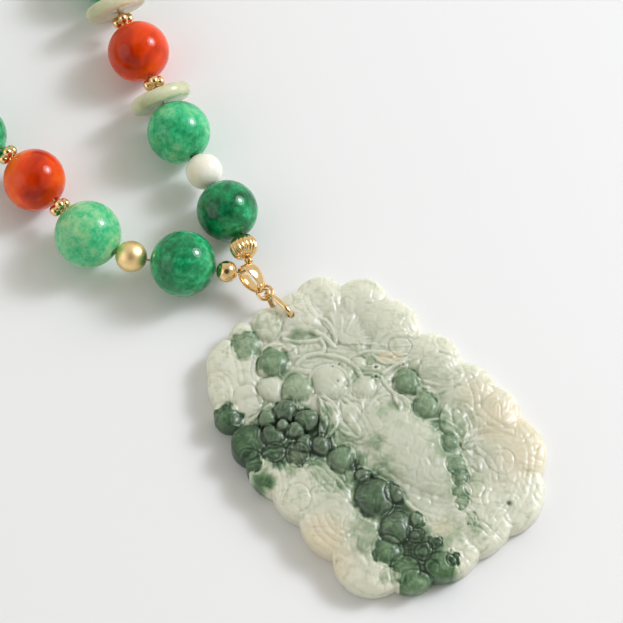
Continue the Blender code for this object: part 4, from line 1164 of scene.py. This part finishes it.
half_level = np.linspace(4.5, 0.25, 18)
level = np.concatenate([half_level, [0.12, 0.0, -0.12], -half_level[::-1]])
barrel = BARREL_RADIUS * np.clip(1.0 - (np.abs(level) / BARREL_REACH) ** 4, 0.0, 1.0) ** 0.6
barrel = barrel - JOINT_DEPTH * np.exp(-((level / JOINT_HALF) ** 2))
turned_gold("clasp", with_bore(np.stack([barrel, level], -1), 0.5, 4.3), 216, knurls)


# %% [markdown]
# The string itself is a twisted thread. A circle carried along its route would do, but two plies
# show at the bare places by the bail, so the section is a figure of eight that turns as it goes.


# %% The string
THREAD_TURN = 1.6
CLASP_END = 1.8


def route_points(points, tangents, steps):
    """Points along the smooth curve through the given ones, with steps to each span."""
    share = np.linspace(0.0, 1.0, steps, endpoint=False)[:, None]
    start, end = points[:-1, None], points[1:, None]
    reach = np.linalg.norm(end - start, axis=2, keepdims=True)
    leave, arrive = tangents[:-1, None] * reach, tangents[1:, None] * reach
    curve = ((1 + 2 * share) * (1 - share) ** 2 * start + share * (1 - share) ** 2 * leave
             + share**2 * (3 - 2 * share) * end - share**2 * (1 - share) * arrive)
    return np.concatenate([curve.reshape(-1, 3), points[-1:]])


ends = centres[0] + directions[0] * CLASP_END * MM * np.array([[1.0], [-1.0]])
through = np.concatenate([ends[:1], centres[1:], ends[1:]])
heading = np.concatenate([directions[:1], directions[1:], directions[:1]])
route = route_points(through, heading, 18)
travelled = np.concatenate([[0.0], np.cumsum(np.linalg.norm(np.diff(route, axis=0), axis=1))])
print("string length", round(travelled[-1] / MM), "mm")

ahead = unit(np.gradient(route, axis=0))
level_side = unit(np.cross([0.0, 0.0, 1.0], ahead))
upward = np.cross(ahead, level_side)
turn = full_turn(12)[None, :]
twist = 2.0 * math.pi * travelled[:, None] / (THREAD_TURN * MM)
thick = 0.5 * STRING_WIRE * MM * (0.80 + 0.20 * np.cos(2.0 * (turn - twist)))
rings = (route[:, None] + (thick * np.cos(turn))[..., None] * level_side[:, None]
         + (thick * np.sin(turn))[..., None] * upward[:, None])
show("fine_string", tube_mesh("fine_string", rings, False), pale_thread, "pale_thread", "string")

# %% [markdown]
# The bail has three pieces: a ribbon loop bent into a teardrop, which the string runs through, a
# small round link in its foot, and a clip whose two prongs reach into the pendant's hole. The
# ribbon is a rounded flat section carried round the teardrop, wide over the middle and narrow at
# its foot. A small ball and a scroll are soldered to that foot. The clip and the scroll are wires
# carried along a few chosen points, and the ball is a very short wire that swells and closes.

# %% The ribbon loop
LOOP_FOOT = 6.25
LOOP_HALF_HEIGHT = 1.9
LOOP_ROLL = math.radians(26.0)
LINK_HEIGHT = 3.6
FOOT_WIDTH = 0.8
CROWN_WIDTH = 2.0
LOOP_SWELL = 0.4


def rounded(turn, power):
    """A circle squared off towards a rectangle: cosine and sine raised to a power below one."""
    cosine, sine = np.cos(turn), np.sin(turn)
    return np.sign(cosine) * np.abs(cosine) ** power, np.sign(sine) * np.abs(sine) ** power


turn = full_turn(96)
middle, reach = 0.5 * (LOOP_CROWN + LOOP_FOOT), 0.5 * (LOOP_CROWN - LOOP_FOOT - LOOP_THICK)
up = middle + reach * np.cos(turn)
rise = (LOOP_HALF_HEIGHT - 0.5 * LOOP_THICK) * np.sin(turn) * (0.85 + 0.15 * np.cos(turn))
tilt_up = (string_level - LINK_HEIGHT) / (LOOP_CROWN - LOOP_FOOT)
lean = np.array([math.sin(LOOP_ROLL), 0.0, math.cos(LOOP_ROLL)])
flat_way = np.array([math.cos(LOOP_ROLL), 0.0, -math.sin(LOOP_ROLL)])
centre_line = np.stack([np.zeros(96), up, LINK_HEIGHT + tilt_up * (up - LOOP_FOOT)], -1)
centre_line = centre_line + rise[:, None] * lean
forward = unit(np.roll(centre_line, -1, 0) - np.roll(centre_line, 1, 0))
outward = np.cross(forward, flat_way)
share = 0.5 + 0.5 * np.cos(turn)
half_width = 0.5 * (FOOT_WIDTH + (CROWN_WIDTH - FOOT_WIDTH) * share**0.5
                    + LOOP_SWELL * np.sin(math.pi * share))
wide, deep = rounded(full_turn(28), 0.55)
crowned = 0.5 * LOOP_THICK * deep * (1.0 - 0.25 * wide**2)
rings = (centre_line[:, None] + half_width[:, None, None] * wide[None, :, None] * flat_way
         + crowned[None, :, None] * outward[:, None])


def show_gold(mesh, node):
    """A piece of polished gold, which keeps its mesh's name."""
    show(mesh.name, mesh, polished_gold, "polished_gold", node)


show_gold(tube_mesh("fine_bail_loop", from_hole(rings), True), "bail_loop")

# %% The link in the loop's foot
LINK_RADIUS = 1.2
LINK_WIRE = 0.5
LINK_GAP = 0.2
link_up = LOOP_FOOT + LOOP_THICK + LINK_GAP + 0.5 * LINK_WIRE - LINK_RADIUS
turn, section = full_turn(64)[:, None], full_turn(20)[None, :]
distance = LINK_RADIUS + 0.5 * LINK_WIRE * np.cos(section)
ring = np.stack([distance * np.cos(turn), link_up + distance * np.sin(turn),
                 LINK_HEIGHT + 0.5 * LINK_WIRE * np.sin(section) + 0.0 * turn], -1)
show_gold(tube_mesh("fine_link_ring", from_hole(ring), True), "link_ring")


# %% The clip
CLIP_WIRE = 0.85
CLIP_TAPER = 0.2
CLIP_RISE = 1.5
CLIP_FLOOR = 0.3


def swept_wire(name, path, radii, squeeze=1.0):
    """A wire through the given places, with its own radius at each of them. squeeze below one
    flattens it across its bend."""
    path = np.asarray(path, float)
    ways = unit(np.diff(path, axis=0))
    tangents = unit(np.concatenate([ways[:1], ways[:-1] + ways[1:], ways[-1:]]))
    line = route_points(path, tangents, 8)
    thickness = np.interp(np.arange(len(line)) / 8.0, np.arange(len(radii)), radii)[:, None]
    forward = unit(np.gradient(line, axis=0))
    level = np.cross(forward, [0.0, 0.3, 1.0])
    across = np.linalg.norm(level, axis=1, keepdims=True) > 0.2
    side = unit(np.where(across, level, [1.0, 0.0, 0.0]))
    over = np.cross(forward, side)
    section = full_turn(18)
    rings = (line[:, None] + (thickness * np.cos(section))[..., None] * side[:, None]
             + squeeze * (thickness * np.sin(section))[..., None] * over[:, None])
    return tube_mesh(name, from_hole(rings), False)


eye = link_up - LINK_RADIUS
bend = 0.5 * (LINK_WIRE + CLIP_WIRE) + LINK_GAP
top = RIM_HEIGHT + 0.5 * CLIP_WIRE + CLIP_RISE
low = 0.5 * CLIP_WIRE + CLIP_FLOOR
BOW_TURNS = (70.0, 35.0, 0.0, -35.0, -70.0)

# The clip's path from the tip of its front prong to the tip of its rear one: up and height
front = [(-0.14, 2.6), (-0.12, 3.9), (0.12, top - 0.5), (0.9, top), (2.1, top + 0.05),
         (eye - 1.1, top - 0.3)]
bow = [(eye + bend * math.cos(a), LINK_HEIGHT + bend * math.sin(a))
       for a in np.radians(BOW_TURNS)]
back = [(eye - 0.3, low + 0.8), (eye - 1.0, low + 0.1), (2.4, low), (0.9, low),
        (0.25, low + 0.35), (0.0, 1.7)]
clip_path = [(0.0, up, height) for up, height in front + bow + back]
share = np.linspace(-1.0, 1.0, len(clip_path))
clip_radii = 0.5 * (CLIP_WIRE - CLIP_TAPER * np.abs(share) ** 4)
show_gold(swept_wire("fine_pinch_clip", clip_path, clip_radii, 0.85), "pinch_clip")

# %% The ball and scroll soldered to the loop
KNOT_AT = np.array([-0.1, 6.95, 4.75])
KNOT_RADIUS = 0.46
SCROLL_RADII = [0.26] * 6 + [0.20]
SCROLL = [(-0.15, 6.8, 4.65), (-0.25, 6.3, 4.72), (0.05, 5.95, 4.70), (0.25, 5.5, 4.65),
          (-0.1, 5.05, 4.6), (-0.7, 5.0, 4.5), (-1.1, 5.35, 4.3)]

half_turn = np.linspace(0.0, math.pi, 15)
ball = [KNOT_AT + [0.0, KNOT_RADIUS * math.cos(a), 0.0] for a in half_turn]
knot = swept_wire("fine_bail_knot", ball, np.maximum(KNOT_RADIUS * np.sin(half_turn), 0.03))
show_gold(knot, "bail_loop")
show_gold(swept_wire("fine_bail_scroll", SCROLL, SCROLL_RADII), "bail_loop")

# %% [markdown]
# The floor is plain and pale. The key light is a soft box up to the right with a small bright
# lamp in it, which puts the small spot on every bead, and a dim round box on the left gives the
# wide pale patch. The world is a warm white, which warms the shadows, and it is darker round the
# direction that the necklace is seen from, so that the polished pieces show a dark middle.

# %% Floor
FLOOR_SIZE = 3.0
FLOOR_GAP = 0.00002
TABLE_COLOUR = (0.86, 0.86, 0.87)

bpy.ops.mesh.primitive_plane_add(size=FLOOR_SIZE, location=(0.0, 0.0, -FLOOR_GAP))
floor = bpy.context.object
floor.name = "table"
table_white, nodes, links, shader = new_finish("table_white", 0.7)
shader.inputs["Base Color"].default_value = (*TABLE_COLOUR, 1.0)
floor.data.materials.append(table_white)

# %% Camera at the photograph's angle
VIEW_TURN = math.radians(41.0)
VIEW_RISE = math.radians(65.0)
DISTANCE = 600.0
PIXELS_PER_MM = 6.4
PICTURE_WIDTH = 623.0
SENSOR = 36.0
look_at = np.array([*(pendant_at + HOLE + [3.32, -1.06]), 3.0])


def from_picture(right, away, up):
    """A direction given as right, away and up in the picture, turned to the necklace's axes."""
    return np.array([right * math.cos(VIEW_TURN) + away * math.sin(VIEW_TURN),
                     -right * math.sin(VIEW_TURN) + away * math.cos(VIEW_TURN), up])


towards = from_picture(0.0, -math.cos(VIEW_RISE), math.sin(VIEW_RISE))
camera_data = bpy.data.cameras.new("camera")
camera = add_object("camera", camera_data)
camera.location = (look_at + DISTANCE * towards) * MM
camera.rotation_mode = "QUATERNION"
camera.rotation_quaternion = Vector(-towards).to_track_quat("-Z", "Y")
camera_data.sensor_width = SENSOR
camera_data.lens = SENSOR * PIXELS_PER_MM * DISTANCE / PICTURE_WIDTH
camera_data.clip_start, camera_data.clip_end = 0.01, 10.0
bpy.context.scene.camera = camera


# %% Lights
LAMP_COLOUR = (0.97, 1.0, 1.08)
KEY_WAY = (0.71, 0.35, 0.63)
LEFT_WAY = (-0.84, -0.22, 0.49)


def soft_light(name, direction, distance, size, power):
    """A round area light that looks at the pendant from a direction in the picture."""
    data = bpy.data.lights.new(name, "AREA")
    data.shape, data.size, data.energy, data.color = "DISK", size, power, LAMP_COLOUR
    light = add_object(name, data)
    way = unit(from_picture(*direction))
    light.location = look_at * MM + distance * way
    light.rotation_mode = "QUATERNION"
    light.rotation_quaternion = Vector(way).to_track_quat("Z", "Y")


soft_light("key_box", KEY_WAY, 0.9, 0.52, 3.3)
soft_light("key_lamp", KEY_WAY, 0.88, 0.20, 2.4)
soft_light("left_box", LEFT_WAY, 0.9, 0.80, 1.0)

# %% The world's light
WARM_WHITE = (1.0, 0.97, 0.87)
STRENGTHS = [(0.30, 0.72), (0.84, 0.56), (0.94, 0.08)]

world = bpy.data.worlds.new("studio")
bpy.context.scene.world = world
world.use_nodes = True
nodes, links = world.node_tree.nodes, world.node_tree.links
look = add_node(nodes, "ShaderNodeTexCoord")
facing = add_node(nodes, "ShaderNodeVectorMath", operation="DOT_PRODUCT")
links.new(look.outputs["Generated"], facing.inputs[0])
facing.inputs[1].default_value = towards
strength = ramp(nodes, links, facing.outputs["Value"],
                [(place, (grey, grey, grey)) for place, grey in STRENGTHS])
nodes["Background"].inputs["Color"].default_value = (*WARM_WHITE, 1.0)
links.new(strength, nodes["Background"].inputs["Strength"])
bpy.context.scene.view_settings.view_transform = "Standard"
